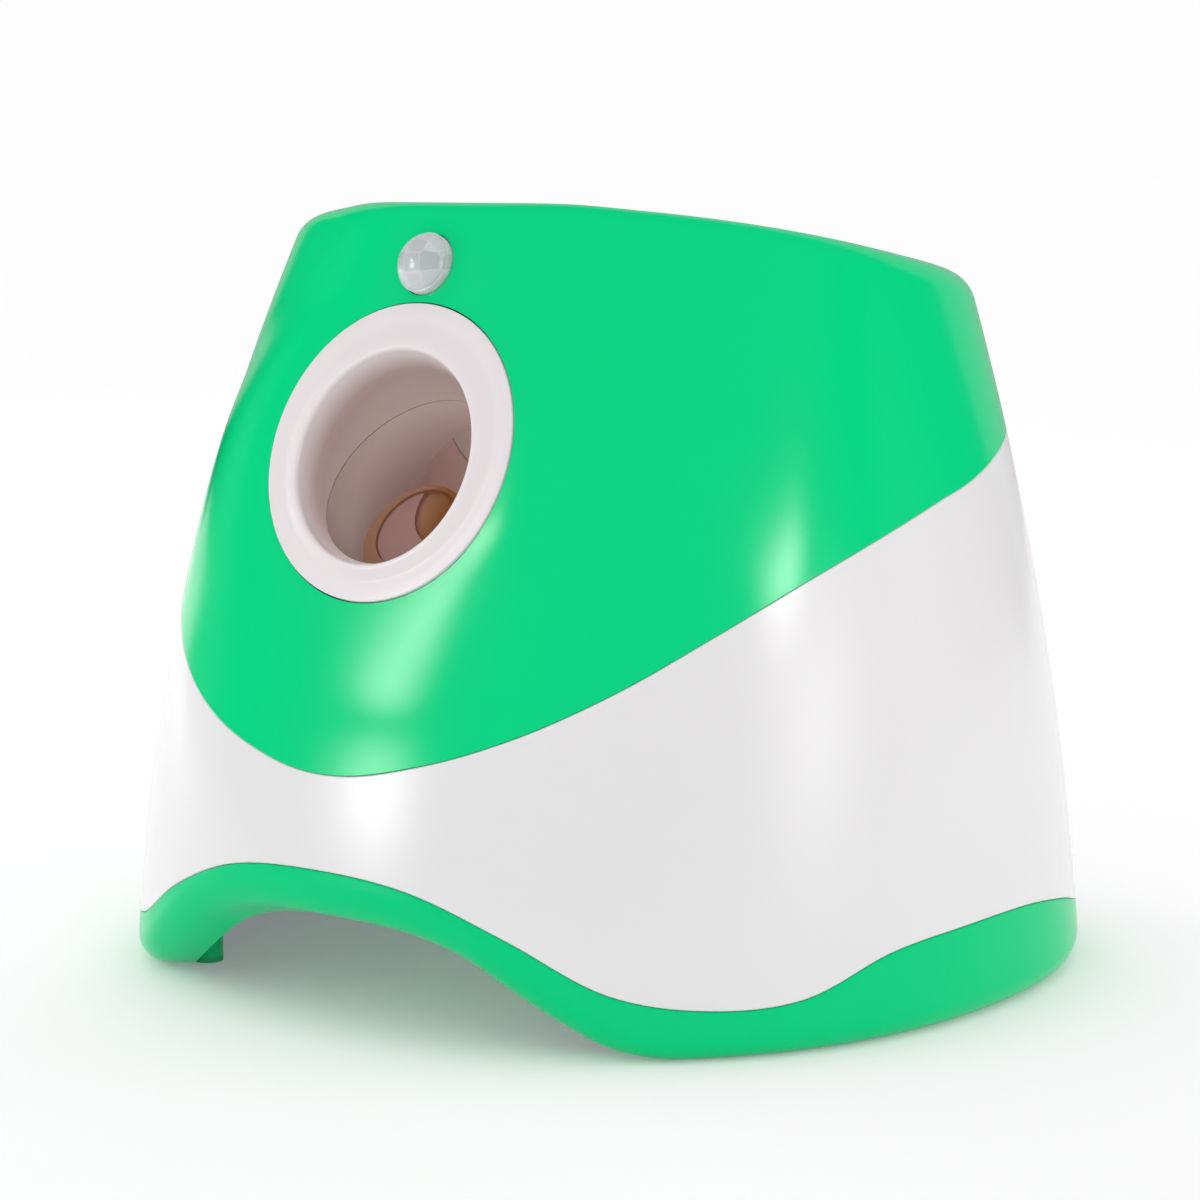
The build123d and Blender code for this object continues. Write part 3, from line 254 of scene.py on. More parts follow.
def run(start, end, count):
    """Evenly spaced points between two ends, without the last one."""
    return [start.lerp(end, step / count) for step in range(count)]


def grid_shell(columns, rows, place):
    """Closed band: a grid whose vertices are moved to place(column share, row index), seams merged."""
    mesh = bmesh.new()
    bmesh.ops.create_grid(mesh, x_segments=columns, y_segments=rows, size=1.0)
    cache = {}
    for vertex in mesh.verts:
        column = round((vertex.co.x + 1) / 2 * columns)
        row = round((vertex.co.y + 1) / 2 * rows)
        if column not in cache:
            cache[column] = place(column / columns)
        vertex.co = cache[column][row % len(cache[column])] * MM
    bmesh.ops.remove_doubles(mesh, verts=mesh.verts, dist=1e-6)
    bmesh.ops.recalc_face_normals(mesh, faces=mesh.faces)
    return mesh


def smooth_over(data, sharp):
    """Smooth shading, with edges left sharp over an angle in degrees."""
    data.shade_smooth()
    data.set_sharp_from_angle(angle=math.radians(sharp))


def finished(name, mesh, material, body, node, sharp):
    """Object from a bmesh, riding on its body in place of its CAD node or nodes."""
    data = bpy.data.meshes.new(name)
    mesh.to_mesh(data)
    mesh.free()
    smooth_over(data, sharp)
    piece = bpy.data.objects.new(name, data)
    bpy.context.scene.collection.objects.link(piece)
    data.materials.append(material)
    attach(piece, body)
    for one in [node] if isinstance(node, str) else node:
        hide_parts(one)
    return piece


def cut_with(piece, cutter_mesh):
    """Takes a closed shape out of a piece for good."""
    data = bpy.data.meshes.new("cutter")
    cutter_mesh.to_mesh(data)
    cutter_mesh.free()
    cutter = bpy.data.objects.new("cutter", data)
    bpy.context.scene.collection.objects.link(cutter)
    modifier = piece.modifiers.new("cut", "BOOLEAN")
    modifier.operation = "DIFFERENCE"
    modifier.solver = "EXACT"
    modifier.object = cutter
    bpy.context.view_layer.update()
    evaluated = piece.evaluated_get(bpy.context.evaluated_depsgraph_get())
    result = bpy.data.meshes.new_from_object(evaluated)
    piece.modifiers.clear()
    old = piece.data
    piece.data = result
    bpy.data.meshes.remove(old)
    bpy.data.objects.remove(cutter)


def drum(radius, half_length, matrix, segments):
    """Closed cylinder through a plane, along its normal, as a bmesh in metres."""
    mesh = bmesh.new()
    size = radius * MM
    bmesh.ops.create_cone(
        mesh, cap_ends=True, segments=segments, radius1=size, radius2=size, depth=2 * half_length * MM
    )
    placed = matrix.copy()
    placed.translation = matrix.translation * MM
    bmesh.ops.transform(mesh, matrix=placed, verts=mesh.verts)
    return mesh


# ------------------------------------------------------------ materials
def linear(hex_colour):
    """Turns an sRGB hex value to linear colour."""
    values = [int(hex_colour[i : i + 2], 16) / 255 for i in (1, 3, 5)]
    return [v / 12.92 if v <= 0.04045 else ((v + 0.055) / 1.055) ** 2.4 for v in values] + [1.0]


def add_node(tree, kind, settings=None, **links):
    """Adds a node, gives it its settings and joins its inputs to other nodes' outputs."""
    node = tree.nodes.new(kind)
    for key, value in (settings or {}).items():
        if isinstance(key, int) or key in node.inputs:
            node.inputs[key].default_value = value
        else:
            setattr(node, key, value)
    for key, source in links.items():
        tree.links.new(source, node.inputs[key.replace("_", " ")])
    return node


def finish_of(name, colour, rough, metal=0.0, specular=0.5, bump=0.0, grain=0.8, through=0.0):
    """Principled finish with a fine moulding grain in the bump, grain in millimetres."""
    material = bpy.data.materials.new(name)
    material.use_nodes = True
    tree = material.node_tree
    shader = tree.nodes["Principled BSDF"]
    shader.inputs["Base Color"].default_value = linear(colour)
    shader.inputs["Roughness"].default_value = rough
    shader.inputs["Metallic"].default_value = metal
    shader.inputs["Specular IOR Level"].default_value = specular
    shader.inputs["IOR"].default_value = 1.5
    shader.inputs["Transmission Weight"].default_value = through
    if bump:
        coords = add_node(tree, "ShaderNodeTexCoord")
        settings = {"Scale": 1 / (grain * MM), "Detail": 2.0}
        noise = add_node(tree, "ShaderNodeTexNoise", settings, Vector=coords.outputs["Object"])
        relief = add_node(
            tree, "ShaderNodeBump", {"Strength": bump, "Distance": 0.0002}, Height=noise.outputs["Fac"]
        )
        tree.links.new(relief.outputs["Normal"], shader.inputs["Normal"])
    return material


# ABS, injection moulded in a polished tool: strong colour under a clear gloss
green_abs = finish_of("green_moulded_abs", "#00D787", 0.16, specular=0.24)
trim_abs = finish_of("green_trim_abs", "#00D083", 0.2, specular=0.09)
white_abs = finish_of("white_moulded_abs", "#E9E7E8", 0.2, specular=0.3)
# the same white ABS, a little warmer
warm_abs = finish_of("warm_white_abs", "#E9E2E3", 0.24, specular=0.3)
# ABS from an etched tool: dull, with a fine grain
grey_abs = finish_of("grey_etched_abs", "#6D7276", 0.55, bump=0.08)
black_abs = finish_of("black_abs", "#141416", 0.45, bump=0.05)
# silicone and thermoplastic rubber, moulded: matt, nearly without gloss
pad_rubber = finish_of("rosy_silicone_pad", "#A88178", 0.6, bump=0.05)
dark_foot = finish_of("green_foot_pad", "#06B873", 0.5, bump=0.05)
# nylon, moulded: waxy and slightly cream
nylon = finish_of("natural_nylon", "#E3E0D2", 0.38, bump=0.03)
cream_nylon = finish_of("connector_nylon", "#E0DCCB", 0.5)
# metals: drawn wire, turned bar and cut brass, each with its own colour in the gloss
spring_steel = finish_of("drawn_spring_steel", "#A9ABAE", 0.28, metal=1.0)
turned_steel = finish_of("turned_steel", "#B4B6B8", 0.25, metal=1.0, bump=0.03, grain=0.3)
cut_brass = finish_of("cut_brass", "#C9A356", 0.3, metal=1.0)
# solder resist, shrink film, PVC and clear resin: thin, smooth and half glossy
board_green = finish_of("green_solder_resist", "#0E5A33", 0.35)
cell_jacket = finish_of("cell_shrink_jacket", "#39404C", 0.35)
wire_pvc = finish_of("black_wire_pvc", "#1B1B1D", 0.5)
amber_resin = finish_of("amber_clear_resin", "#F0A63C", 0.12, through=0.4)


def deepening_finish(name, colours, spans, rough, specular, axis, start=(0.0, 0.0, 0.0)):
    """Principled finish whose colour runs through a list of colours along an axis, spans in millimetres."""
    material = finish_of(name, colours[0], rough, specular=specular)
    tree = material.node_tree
    coords = add_node(tree, "ShaderNodeTexCoord")
    origin = add_node(
        tree, "ShaderNodeVectorMath", {"operation": "SUBTRACT", 1: tuple(v * MM for v in start)}
    )
    tree.links.new(coords.outputs["Object"], origin.inputs[0])
    depth = add_node(tree, "ShaderNodeVectorMath", {"operation": "DOT_PRODUCT", 1: tuple(axis)})
    tree.links.new(origin.outputs["Vector"], depth.inputs[0])
    source = None
    for (low, high), colour, before in zip(spans, colours[1:], colours):
        settings = {"From Min": low * MM, "From Max": high * MM}
        share = add_node(tree, "ShaderNodeMapRange", settings, Value=depth.outputs["Value"])
        mix = add_node(tree, "ShaderNodeMixRGB", {"Color1": linear(before), "Color2": linear(colour)})
        tree.links.new(share.outputs["Result"], mix.inputs["Fac"])
        if source is not None:
            tree.links.new(source, mix.inputs["Color1"])
        source = mix.outputs["Color"]
    tree.links.new(source, tree.nodes["Principled BSDF"].inputs["Base Color"])
    return material


def milky_lens_finish():
    """High-density polythene, milky, with the shading of its moulded cells painted on: greys that differ from
    cell to cell and paler lines at their edges.
    """
    material = finish_of("milky_lens_polythene", "#C9CDD0", 0.22, specular=0.55)
    tree = material.node_tree
    shader = tree.nodes["Principled BSDF"]
    coords = add_node(tree, "ShaderNodeTexCoord")
    settings = {"Location": tuple(-v * MM for v in LENS_AT)}
    centre = add_node(tree, "ShaderNodeMapping", settings, Vector=coords.outputs["Object"])
    # painted facet shading: each cell a lighter or darker grey, with paler lines along the cell edges
    cell_size = 4.8
    settings = {"Scale": 1 / (cell_size * MM), "Randomness": 0.3}
    cells = add_node(tree, "ShaderNodeTexVoronoi", settings, Vector=centre.outputs["Vector"])
    settings["feature"] = "DISTANCE_TO_EDGE"
    edges = add_node(tree, "ShaderNodeTexVoronoi", settings, Vector=centre.outputs["Vector"])
    shade = add_node(tree, "ShaderNodeSeparateColor", Color=cells.outputs["Color"])
    ramp = add_node(tree, "ShaderNodeMixRGB", {"Color1": linear("#B9BFC1"), "Color2": linear("#D3D3D7")})
    tree.links.new(shade.outputs["Red"], ramp.inputs["Fac"])
    line = add_node(
        tree, "ShaderNodeMapRange", {"From Min": 0.0, "From Max": 0.06, "To Min": 0.55, "To Max": 0.0}
    )
    tree.links.new(edges.outputs["Distance"], line.inputs["Value"])
    both = add_node(tree, "ShaderNodeMixRGB", {"Color2": linear("#DCDDE0")})
    tree.links.new(line.outputs["Result"], both.inputs["Fac"])
    tree.links.new(ramp.outputs["Color"], both.inputs["Color1"])
    tree.links.new(both.outputs["Color"], shader.inputs["Base Color"])
    shader.inputs["Subsurface Weight"].default_value = 0.2
    shader.inputs["Subsurface Radius"].default_value = (0.004, 0.004, 0.004)
    shader.inputs["Subsurface Scale"].default_value = 1.0
    return material


# ------------------------------------------------------------ hood
def hood_profile(share):
    """One column of the hood: up the wall, over the rim, and down inside."""
    turn = 2 * math.pi * share
    low = along_table(HOOD_EDGE, turn) + SEAM / 2
    corner = on_rim(turn, 0.0)
    down = (skin(turn, corner.z - 1) - corner).normalized()
    inward = on_rim(turn, 1.0) - corner
    half = math.acos(max(-1, min(1, down.dot(inward.normalized())))) / 2
    front_round, back_round = RIM_ROUND
    rounding = front_round + (back_round - front_round) * smooth_share((1 - math.cos(turn)) / 1.6)
    tangent = rounding / math.tan(half)
    top = corner.z - tangent * abs(down.z)
    wall_top = skin(turn, top)
    rim_inset = min(tangent / inward.length, RIM_BAND - 1.6)
    edge = 0.2
    points = [skin(turn, low, edge)]
    steps = 40
    for step in range(steps):
        height = low + edge + (top - low - edge) * step / steps
        points.append(skin(turn, height))
    points += quarter(wall_top, corner, on_rim(turn, rim_inset), 14)
    points += run(on_rim(turn, rim_inset), on_rim(turn, RIM_BAND - 1.0), 3)[1:]
    points += quarter(on_rim(turn, RIM_BAND - 1.0), on_rim(turn, RIM_BAND), on_rim(turn, RIM_BAND, 1.0), 3)
    lip_end, lip_back = WALL + RIM_LIP_DEPTH, RIM_BAND - RIM_LIP_WALL
    points += [on_rim(turn, RIM_BAND, lip_end), on_rim(turn, lip_back, lip_end)]
    points += quarter(on_rim(turn, lip_back, WALL), on_rim(turn, WALL, WALL), skin(turn, top, WALL), 10)
    for step in range(1, 17):
        points.append(skin(turn, top + (low - top) * step / 16, WALL))
    return points


HOOD_ROWS = len(hood_profile(0.0))
hood_mesh = grid_shell(HOOD_COLUMNS, HOOD_ROWS, hood_profile)
hood = finished("hood_shell", hood_mesh, green_abs, "housing", "hood", SHELL_SHARP)
cut_with(hood, drum(RING_RADIUS + RING_GAP, 30.0, MUZZLE, RING_COLUMNS))

# the sensor sits where the levelled skin has come forward
LENS_AT = skin(0.0, LENS_HEIGHT) + LENS_SHIFT
LENS = plane_matrix(LENS_AT, LENS_LEAN)
cut_with(hood, drum(LENS_RADIUS + LENS_GAP, 12.0, LENS, 96))
smooth_over(hood.data, SHELL_SHARP)


# ------------------------------------------------------------ body
def body_profile(share):
    """One column of the white body, both walls, with small returns at the seams."""
    turn = 2 * math.pi * share
    low = along_table(SKIRT_EDGE, turn) + SEAM / 2
    high = along_table(HOOD_EDGE, turn) - SEAM / 2
    points = [skin(turn, low, EDGE_TURN)]
    steps = 40
    for step in range(steps + 1):
        height = low + EDGE_TURN + (high - low - 2 * EDGE_TURN) * step / steps
        points.append(skin(turn, height))
    points.append(skin(turn, high, EDGE_TURN))
    # the tongue that laps behind the hood
    foot, tip, inner = UPPER_INSETS
    points += [skin(turn, high, foot), skin(turn, high + UPPER_LAP, tip), skin(turn, high + UPPER_LAP, inner)]
    points += [skin(turn, high - LAP_ROOT, inner), skin(turn, high - LAP_START, WALL)]
    for step in range(1, 12):
        height = high - LAP_START + (low - high + 2 * LAP_START) * step / 11
        points.append(skin(turn, height, WALL))
    # and the one that laps behind the skirt
    outer, inner = LOWER_INSETS
    end = max(low - LOWER_LAP, LAP_FLOOR)
    points += [skin(turn, low + LAP_ROOT, inner), skin(turn, end, inner), skin(turn, end, outer)]
    points.append(skin(turn, low, outer))
    return points


BODY_ROWS = len(body_profile(0.0))

# control panel's recess in the back
PANEL_HEIGHT = 82.0
PANEL_LEAN = math.radians(10.0)
PANEL_SIZE = (78.0, 42.0, 9.0)
PANEL_FRAME = 2.5
PANEL_DEPTH = 14.0
PANEL_GAP = 0.06
PANEL_EDGE_INSET = 0.15


def back_matrix():
    """Local Z points out of the panel, local X runs across it, seen from behind."""
    out = Vector((0, math.cos(PANEL_LEAN), math.sin(PANEL_LEAN)))
    across = Vector((-1, 0, 0))
    up = out.cross(across)
    rotation = Matrix((across, up, out)).transposed().to_4x4()
    return Matrix.Translation(skin(math.pi, PANEL_HEIGHT)) @ rotation


PANEL = back_matrix()


def rounded_loop(mesh, width, tall, corner):
    """Ring of vertices round a rounded rectangle, in the local plane."""
    segments = 12
    vertices = []
    for quadrant, (sx, sy) in enumerate(((1, 1), (-1, 1), (-1, -1), (1, -1))):
        for step in range(segments + 1):
            angle = math.pi / 2 * (quadrant + step / segments)
            x = sx * (width / 2 - corner) + corner * math.cos(angle)
            y = sy * (tall / 2 - corner) + corner * math.sin(angle)
            vertices.append(mesh.verts.new((x, y, 0)))
    return vertices


def rounded_block(width, tall, corner, low, high):
    """Closed block with a rounded-rectangle outline, standing on the panel's plane."""
    mesh = bmesh.new()
    mesh.faces.new(rounded_loop(mesh, width, tall, corner))
    made = bmesh.ops.extrude_face_region(mesh, geom=mesh.faces[:])
    moved = [item for item in made["geom"] if isinstance(item, bmesh.types.BMVert)]
    bmesh.ops.translate(mesh, verts=moved, vec=(0, 0, high - low))
    bmesh.ops.translate(mesh, verts=mesh.verts, vec=(0, 0, low))
    bmesh.ops.recalc_face_normals(mesh, faces=mesh.faces)
    for vertex in mesh.verts:
        vertex.co = (PANEL @ vertex.co) * MM
    return mesh


def to_skin(x, y, inset):
    """Height above the panel's plane at which the skin lies, less an inset."""
    out = 0.0
    for _ in range(12):
        point = PANEL @ Vector((x, y, out))
        depth = reach(point.z, BACK_REACH) - inset
        side = reach(point.z, SIDE_REACH) - inset
        target = depth * (1 - (abs(point.x) / side) ** CORNER_POWER) ** (1 / CORNER_POWER)
        out += (target - point.y) / math.cos(PANEL_LEAN)
    return out


def panel_frame(mesh):
    """Tube of the body that leads in to the control panel."""
    width, tall, corner = PANEL_SIZE
    wall = PANEL_FRAME
    outer = rounded_loop(mesh, width + 2 * wall, tall + 2 * wall, corner + wall)
    inner = rounded_loop(mesh, width, tall, corner)
    outer_low = rounded_loop(mesh, width + 2 * wall, tall + 2 * wall, corner + wall)
    inner_low = rounded_loop(mesh, width, tall, corner)
    for vertex in outer + inner:
        vertex.co.z = to_skin(vertex.co.x, vertex.co.y, PANEL_EDGE_INSET)
    for vertex in outer_low + inner_low:
        vertex.co.z = -PANEL_DEPTH
    loops = [outer, inner, inner_low, outer_low, outer]
    for first, second in zip(loops, loops[1:]):
        for index in range(len(first)):
            after = (index + 1) % len(first)
            mesh.faces.new((first[index], first[after], second[after], second[index]))
    for vertex in outer + inner + outer_low + inner_low:
        vertex.co = (PANEL @ vertex.co) * MM


def boss(mesh, x, y, floor_top):
    """Screw column with a rib out to the wall."""
    radius, tall, rib_wall = 5, 34, 2.4
    middle = Vector((x, y, floor_top + tall / 2)) * MM
    made = bmesh.ops.create_cone(
        mesh, cap_ends=True, segments=32, radius1=radius * MM, radius2=radius * MM, depth=tall * MM
    )
    bmesh.ops.translate(mesh, verts=made["verts"], vec=middle)
    # the rib grows until it is in the wall
    away = Vector((x, y, 0))
    side = reach(floor_top + tall / 2, SIDE_REACH)
    depth = reach(floor_top + tall / 2, BACK_REACH if y > 0 else FRONT_REACH)
    length, longest, growth, in_wall = 0.0, 60, 0.5, 0.95
    while length < longest:
        tip = away + away.normalized() * length
        if (abs(tip.x) / side) ** CORNER_POWER + (abs(tip.y) / depth) ** CORNER_POWER > in_wall:
            break
        length += growth
    rib = bmesh.ops.create_cube(mesh, size=1.0)["verts"]
    bmesh.ops.scale(mesh, verts=rib, vec=Vector((length, rib_wall, tall)) * MM)
    bmesh.ops.translate(mesh, verts=rib, vec=Vector((length / 2, 0, 0)) * MM)
    turn = Matrix.Rotation(math.atan2(y, x), 4, "Z")
    bmesh.ops.transform(mesh, verts=rib, matrix=turn)
    bmesh.ops.translate(mesh, verts=rib, vec=middle)


body_mesh = grid_shell(BODY_COLUMNS, BODY_ROWS, body_profile)
body = finished("body_shell_skin", body_mesh, white_abs, "housing", "body_shell", SHELL_SHARP)
panel_width, panel_tall, panel_corner = PANEL_SIZE
opening = rounded_block(
    panel_width + 2 * PANEL_GAP, panel_tall + 2 * PANEL_GAP, panel_corner + PANEL_GAP, -40.0, 20.0
)
cut_with(body, opening)
smooth_over(body.data, SHELL_SHARP)
inside_mesh = bmesh.new()
panel_frame(inside_mesh)
for side in (-1, 1):
    boss(inside_mesh, side * 92.0, -62.0, 30.5)
    boss(inside_mesh, side * 98.0, 60.0, 22.5)
bmesh.ops.recalc_face_normals(inside_mesh, faces=inside_mesh.faces)
finished("body_frame_and_bosses", inside_mesh, white_abs, "housing", [], SHELL_SHARP)


# ------------------------------------------------------------ skirt
def trim_profile(share):
    """One column of the skirt: flange, rounded foot, outer wall and inner wall."""
    turn = 2 * math.pi * share
    low = max(0.0, along_table(ARCH_EDGE, turn))
    high = along_table(SKIRT_EDGE, turn) - SEAM / 2
    radius = min(FOOT_ROUND, (high - low) * 0.75)
    rolled = max(0.0, along_table(ROLL_EDGE, turn))
    fall = (rolled - low) / FLANGE_DEPTH
    half_way = (radius + FLANGE_DEPTH) / 2
    points = [skin(turn, rolled, FLANGE_DEPTH), skin(turn, low + fall * half_way, half_way)]
    points += quarter(
        skin(turn, low + fall * radius, radius), skin(turn, low, 0.0), skin(turn, low + radius, 0.0), 10
    )
    steps = 10
    for step in range(1, steps + 1):
        height = low + radius + (high - EDGE_TURN - low - radius) * step / steps
        points.append(skin(turn, height))
    points += [skin(turn, high, EDGE_TURN), skin(turn, high, SKIRT_WALL)]
    points.append(skin(turn, min(low + SKIRT_WALL + radius, high), SKIRT_WALL))
    points.append(skin(turn, min(low + fall * radius + SKIRT_WALL, high), SKIRT_WALL + radius))
    points.append(skin(turn, rolled + SKIRT_WALL, FLANGE_DEPTH))
    return points


TRIM_ROWS = len(trim_profile(0.0))
trim_mesh = grid_shell(SKIRT_COLUMNS, TRIM_ROWS, trim_profile)
finished("skirt_trim", trim_mesh, trim_abs, "housing", "base_trim", SHELL_SHARP)


# ------------------------------------------------------------ muzzle ring
# the same white ABS with painted shade down the bore: darkest just inside the lip, lighter again further in,
# then darker and warmer deep down
BORE_SHADE_TONES = ("#E9E2E4", "#C6AFAB", "#EAD4CF", "#DDBCB2")
BORE_SHADE_DEPTHS = ((0.0, 6.5), (9.0, 22.0), (28.0, 60.0))
bore_shaded_abs = deepening_finish(
    "bore_painted_shade_abs", BORE_SHADE_TONES, BORE_SHADE_DEPTHS, 0.3, 0.3, -MUZZLE.to_3x3().col[2], MUZZLE_AT
)
# and painted shade down the hopper's spout: darker below its top, with heights from the floor
spout_painted_shade_abs = deepening_finish("spout_painted_shade_abs", ("#DCC6C0", "#E9E7E8"), ((160.0, 172.0),), 0.35, 0.3, (0, 0, 1))


def ring_profile(share):
    """One spoke of the ring: edge, flat face, soft swell of the lip, and the way into the bore."""
    angle = 2 * math.pi * share
    direction = Vector((math.cos(angle), math.sin(angle), 0))
    turned = MUZZLE.to_3x3()

    def face(radius, depth):
        return MUZZLE @ (direction * radius + Vector((0, 0, -depth)))

    def lip(radius, depth):
        return face(radius, depth) + turned @ Vector((0, -LIP_DROP, 0))

    across = direction.x * Vector((1, 0, 0)) + direction.y * BARREL_UP
    bottom = MUZZLE_AT + BARREL_DOWN * SEAM_STATION + across * BORE_RADIUS
    outward = turned @ direction
    points = [face(RING_RADIUS, RING_WALL), face(RING_RADIUS, 0.4), face(RING_RADIUS - 0.12, 0.12)]
    points += [face(RING_RADIUS - 0.4, 0.0), face(FACE_RADIUS, 0.0)]
    swell_start, swell_end = face(FACE_RADIUS - 1.4, 0.0), lip(LIP_RADIUS + 1.1, 0.0)
    for step in range(13):
        part = step / 12
        rise = turned @ Vector((0, 0, LIP_PROUD)) * smooth_share(part)
        points.append(swell_start.lerp(swell_end, part) + rise)
    down_bore = lip(LIP_RADIUS - 0.1, -LIP_PROUD + 0.9) + BARREL_DOWN * 0.6
    points += quarter(lip(LIP_RADIUS + 0.9, -LIP_PROUD), lip(LIP_RADIUS, -LIP_PROUD), down_bore, 10)[1:]
    bend = down_bore + BARREL_DOWN * 3.0
    for step in range(1, 9):
        part = step / 8
        points.append(down_bore.lerp(bend, part).lerp(bend.lerp(bottom, part), part))
    points += [bottom - BARREL_DOWN * 0.2, bottom + across * 0.35]
    points += [bottom + outward * RING_WALL, bend + outward * RING_WALL, face(FACE_RADIUS - 2.0, RING_WALL)]
    return points


RING_ROWS = len(ring_profile(0.0))
ring_mesh = grid_shell(RING_COLUMNS, RING_ROWS, ring_profile)
finished("muzzle_ring_face", ring_mesh, bore_shaded_abs, "housing", "muzzle_ring", RING_SHARP)


# ------------------------------------------------------------ sensor lens
def lens_mesh():
    """Dome cut from a ball, with a thin rim and a skirt."""
    mesh = bmesh.new()
    ball = (LENS_RADIUS**2 + LENS_RISE**2) / (2 * LENS_RISE)
    points = []
    steps = 14
    half = math.asin((LENS_RADIUS - 0.55) / ball)
    for step in range(steps + 1):
        angle = half * step / steps
        points.append((ball * math.sin(angle), LENS_RISE - ball + ball * math.cos(angle)))
    points += [(LENS_RADIUS - 0.5, 0.5), (LENS_RADIUS - 0.15, 0.42), (LENS_RADIUS, 0.15)]
    points += [(LENS_RADIUS, -LENS_SKIRT), (LENS_RADIUS - 1.2, -LENS_SKIRT), (LENS_RADIUS - 1.4, -0.6)]
    points += [(4.0, LENS_RISE - 2.2), (0.0, LENS_RISE - 1.4)]
    ring = [mesh.verts.new((r, 0, z)) for r, z in points]
    edges = [mesh.edges.new((a, b)) for a, b in zip(ring, ring[1:])]
    bmesh.ops.spin(
        mesh, geom=ring + edges, cent=(0, 0, 0), axis=(0, 0, 1), angle=2 * math.pi, steps=64, use_merge=True
    )
    bmesh.ops.remove_doubles(mesh, verts=mesh.verts, dist=1e-4)
    bmesh.ops.recalc_face_normals(mesh, faces=mesh.faces)
    for vertex in mesh.verts:
        vertex.co = (LENS @ vertex.co) * MM
    return mesh


finished("sensor_dome", lens_mesh(), milky_lens_finish(), "housing", "sensor_lens", RING_SHARP)

# ------------------------------------------------------------ finishes of the remaining pieces
# satin polypropylene, its colours darkened by the bore's painted shade: a pale ochre on the -X side, deeper
# on the other
SHADED_OCHRE_TONES = ("#A4765A", "#8F5519")
shaded_ochre_pp = deepening_finish("shaded_ochre_polypropylene", SHADED_OCHRE_TONES, ((-3.0, 5.0),), 0.42, 0.4, (1, 0, 0))
FINISHES = {
    green_abs: "base_plate power_button mode_button",
    dark_foot: "foot_pads",
    white_abs: "barrel_end_cap",
    spout_painted_shade_abs: "hopper",
    warm_abs: "control_panel",
    bore_shaded_abs: "launch_barrel",
    shaded_ochre_pp: "striker",
    pad_rubber: "striker_pad",
    grey_abs: "gearbox_left_plate gearbox_right_plate battery_box battery_door",
    black_abs: "limit_switch feed_sensors board_chips button_switches dc_jack buzzer",
    nylon: "sector_gear second_gear first_gear",
    cream_nylon: "board_connectors",
    spring_steel: "drive_spring battery_contacts",
    turned_steel: "motor_shaft sector_axle second_axle first_axle housing_screws gearbox_screws "
    "battery_door_screw battery_door_pin drive_motor sensor_can",
    cut_brass: "motor_pinion",
    board_green: "sensor_board button_board main_board",
    cell_jacket: "battery_cells",
    wire_pvc: "motor_lead sensor_lead battery_lead",
    amber_resin: "indicator_lights",
}
for material, names in FINISHES.items():
    for name in names.split():
        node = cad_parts[name]
        node.data.materials.clear()
        node.data.materials.append(material)


# ------------------------------------------------------------ floor, light and camera
def sheet_of(name, width, tall, material):
    """Flat sheet that belongs to the studio, not to the launcher."""
    mesh = bmesh.new()
    bmesh.ops.create_grid(mesh, x_segments=1, y_segments=1, size=0.5)
    bmesh.ops.scale(mesh, verts=mesh.verts, vec=(width, tall, 1.0))
    data = bpy.data.meshes.new(name)
    mesh.to_mesh(data)
    mesh.free()
    sheet = bpy.data.objects.new(name, data)
    bpy.context.scene.collection.objects.link(sheet)
    data.materials.append(material)
    return sheet


STUDIO_WHITE = 0.983
FLOOR_GLOW = (0.2, 0.145, 0.195)
FLOOR_SIZE = 60.0
CARD_DISTANCE = 2.2
CARD_MIDDLE = Vector((0, 0, 0.11))
floor_paint = finish_of("pale_floor_paint", "#FFFFFF", 1.0, specular=0.0)
floor_shader = floor_paint.node_tree.nodes["Principled BSDF"]
floor_shader.inputs["Base Color"].default_value = [1 - glow / STUDIO_WHITE for glow in FLOOR_GLOW] + [1.0]
floor_shader.inputs["Emission Color"].default_value = [*FLOOR_GLOW, 1.0]
floor_shader.inputs["Emission Strength"].default_value = 1.0
sheet_of("pale_floor", FLOOR_SIZE, FLOOR_SIZE, floor_paint)

world = bpy.data.worlds.new("studio")
bpy.context.scene.world = world
world.use_nodes = True
world.node_tree.nodes["Background"].inputs["Color"].default_value = (1, 1, 1, 1)
world.node_tree.nodes["Background"].inputs["Strength"].default_value = STUDIO_WHITE
world.cycles_visibility.glossy = False


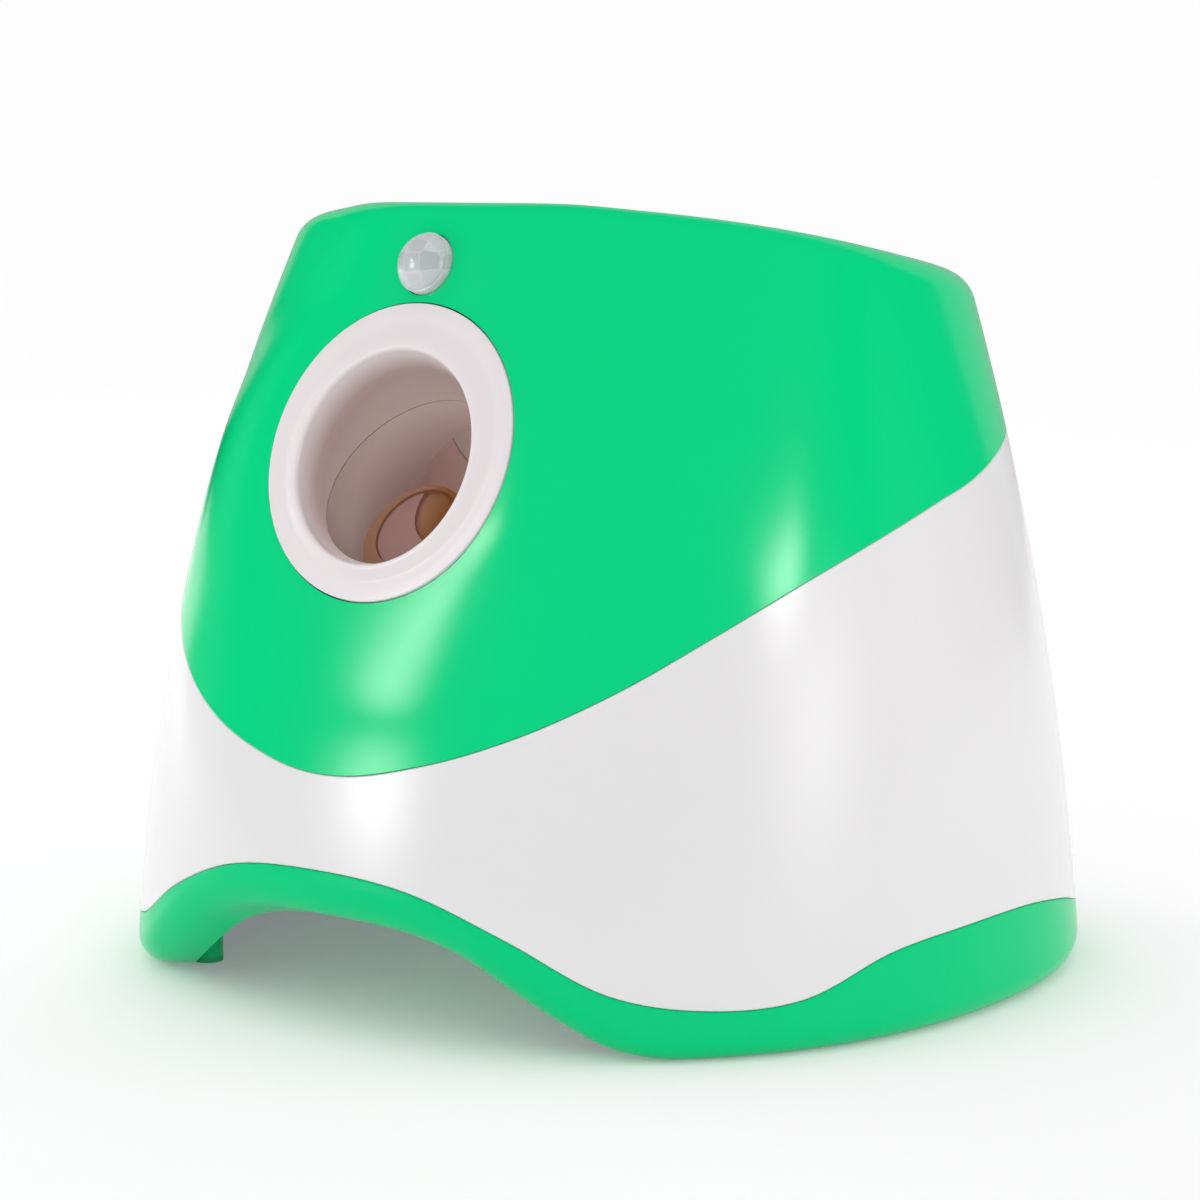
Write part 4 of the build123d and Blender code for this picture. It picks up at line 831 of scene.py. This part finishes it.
def glowing_card(name, turn, lift, width, tall, strength, edge=1.0, fill=False):
    """Diffuser, turn degrees from the front towards +X, fading over its edge: seen in gloss, or a fill."""
    material = bpy.data.materials.new(name)
    material.use_nodes = True
    tree = material.node_tree
    tree.nodes.remove(tree.nodes["Principled BSDF"])
    coords = add_node(tree, "ShaderNodeTexCoord")
    settings = {"Scale": (2 / width, 2 / tall, 0.0)}
    scaled = add_node(tree, "ShaderNodeMapping", settings, Vector=coords.outputs["Object"])
    settings = {"gradient_type": "SPHERICAL"}
    fade = add_node(tree, "ShaderNodeTexGradient", settings, Vector=scaled.outputs["Vector"])
    settings = {"interpolation_type": "SMOOTHSTEP", "From Max": edge, "To Max": strength}
    soft = add_node(tree, "ShaderNodeMapRange", settings, Value=fade.outputs["Fac"])
    glow = add_node(tree, "ShaderNodeEmission", Strength=soft.outputs["Result"])
    tree.links.new(glow.outputs["Emission"], tree.nodes["Material Output"].inputs["Surface"])
    card = sheet_of(name, width, tall, material)
    around, up = math.radians(turn), math.radians(lift)
    level = math.cos(up)
    place = Vector((math.sin(around) * level, -math.cos(around) * level, math.sin(up))) * CARD_DISTANCE
    card.location = CARD_MIDDLE + place
    card.rotation_euler = place.to_track_quat("Z", "Y").to_euler()
    card.visible_camera = card.visible_shadow = card.visible_transmission = False
    card.visible_diffuse, card.visible_glossy = fill, not fill


glowing_card("left_high_card", -32.0, 19.6, 0.85, 0.3, 23.0)
glowing_card("left_low_card", -28.0, 6.6, 1.1, 0.66, 16.0)
glowing_card("right_high_card", 81.5, 18.0, 0.7, 0.27, 36.0)
glowing_card("right_low_card", 91.0, 6.5, 1.7, 0.9, 5.0)
glowing_card("back_card", -155.0, 22.0, 4.0, 2.6, 0.42, 0.05)
glowing_card("left_fill", -90.0, 6.0, 2.0, 2.0, 8.0, 1.0, True)
glowing_card("right_fill", 130.0, 6.0, 2.0, 2.0, 4.0, 1.0, True)

# the camera's focal length and middle, in pixels of its square frame, and where it stands, in metres
FRAME_PIXELS = 1200
FOCAL_PIXELS = 3338.97
MIDDLE_ACROSS, MIDDLE_DOWN = 610.09, 574.51
CAMERA_TURN, CAMERA_LIFT = math.radians(37.2), math.radians(6.98)
CAMERA_DISTANCE = 0.9851
LOOKED_AT = Vector((0, 0, 0.111))

camera_data = bpy.data.cameras.new("camera")
camera = bpy.data.objects.new("camera", camera_data)
bpy.context.scene.collection.objects.link(camera)
camera_data.sensor_width = 36.0
camera_data.lens = FOCAL_PIXELS / FRAME_PIXELS * camera_data.sensor_width
camera_data.shift_x = (FRAME_PIXELS / 2 - MIDDLE_ACROSS) / FRAME_PIXELS
camera_data.shift_y = (MIDDLE_DOWN - FRAME_PIXELS / 2) / FRAME_PIXELS
camera_data.clip_start = 0.01
level_part = math.cos(CAMERA_LIFT)
outward = Vector(
    (math.sin(CAMERA_TURN) * level_part, -math.cos(CAMERA_TURN) * level_part, math.sin(CAMERA_LIFT))
)
camera.location = LOOKED_AT + outward * CAMERA_DISTANCE
camera.rotation_euler = (-outward).to_track_quat("-Z", "Y").to_euler()
bpy.context.scene.camera = camera

bpy.context.scene.view_settings.view_transform = "Standard"
bpy.context.scene.view_settings.look = "None"
bpy.context.scene.view_settings.exposure = 0.0
bpy.context.scene.view_settings.gamma = 1.0
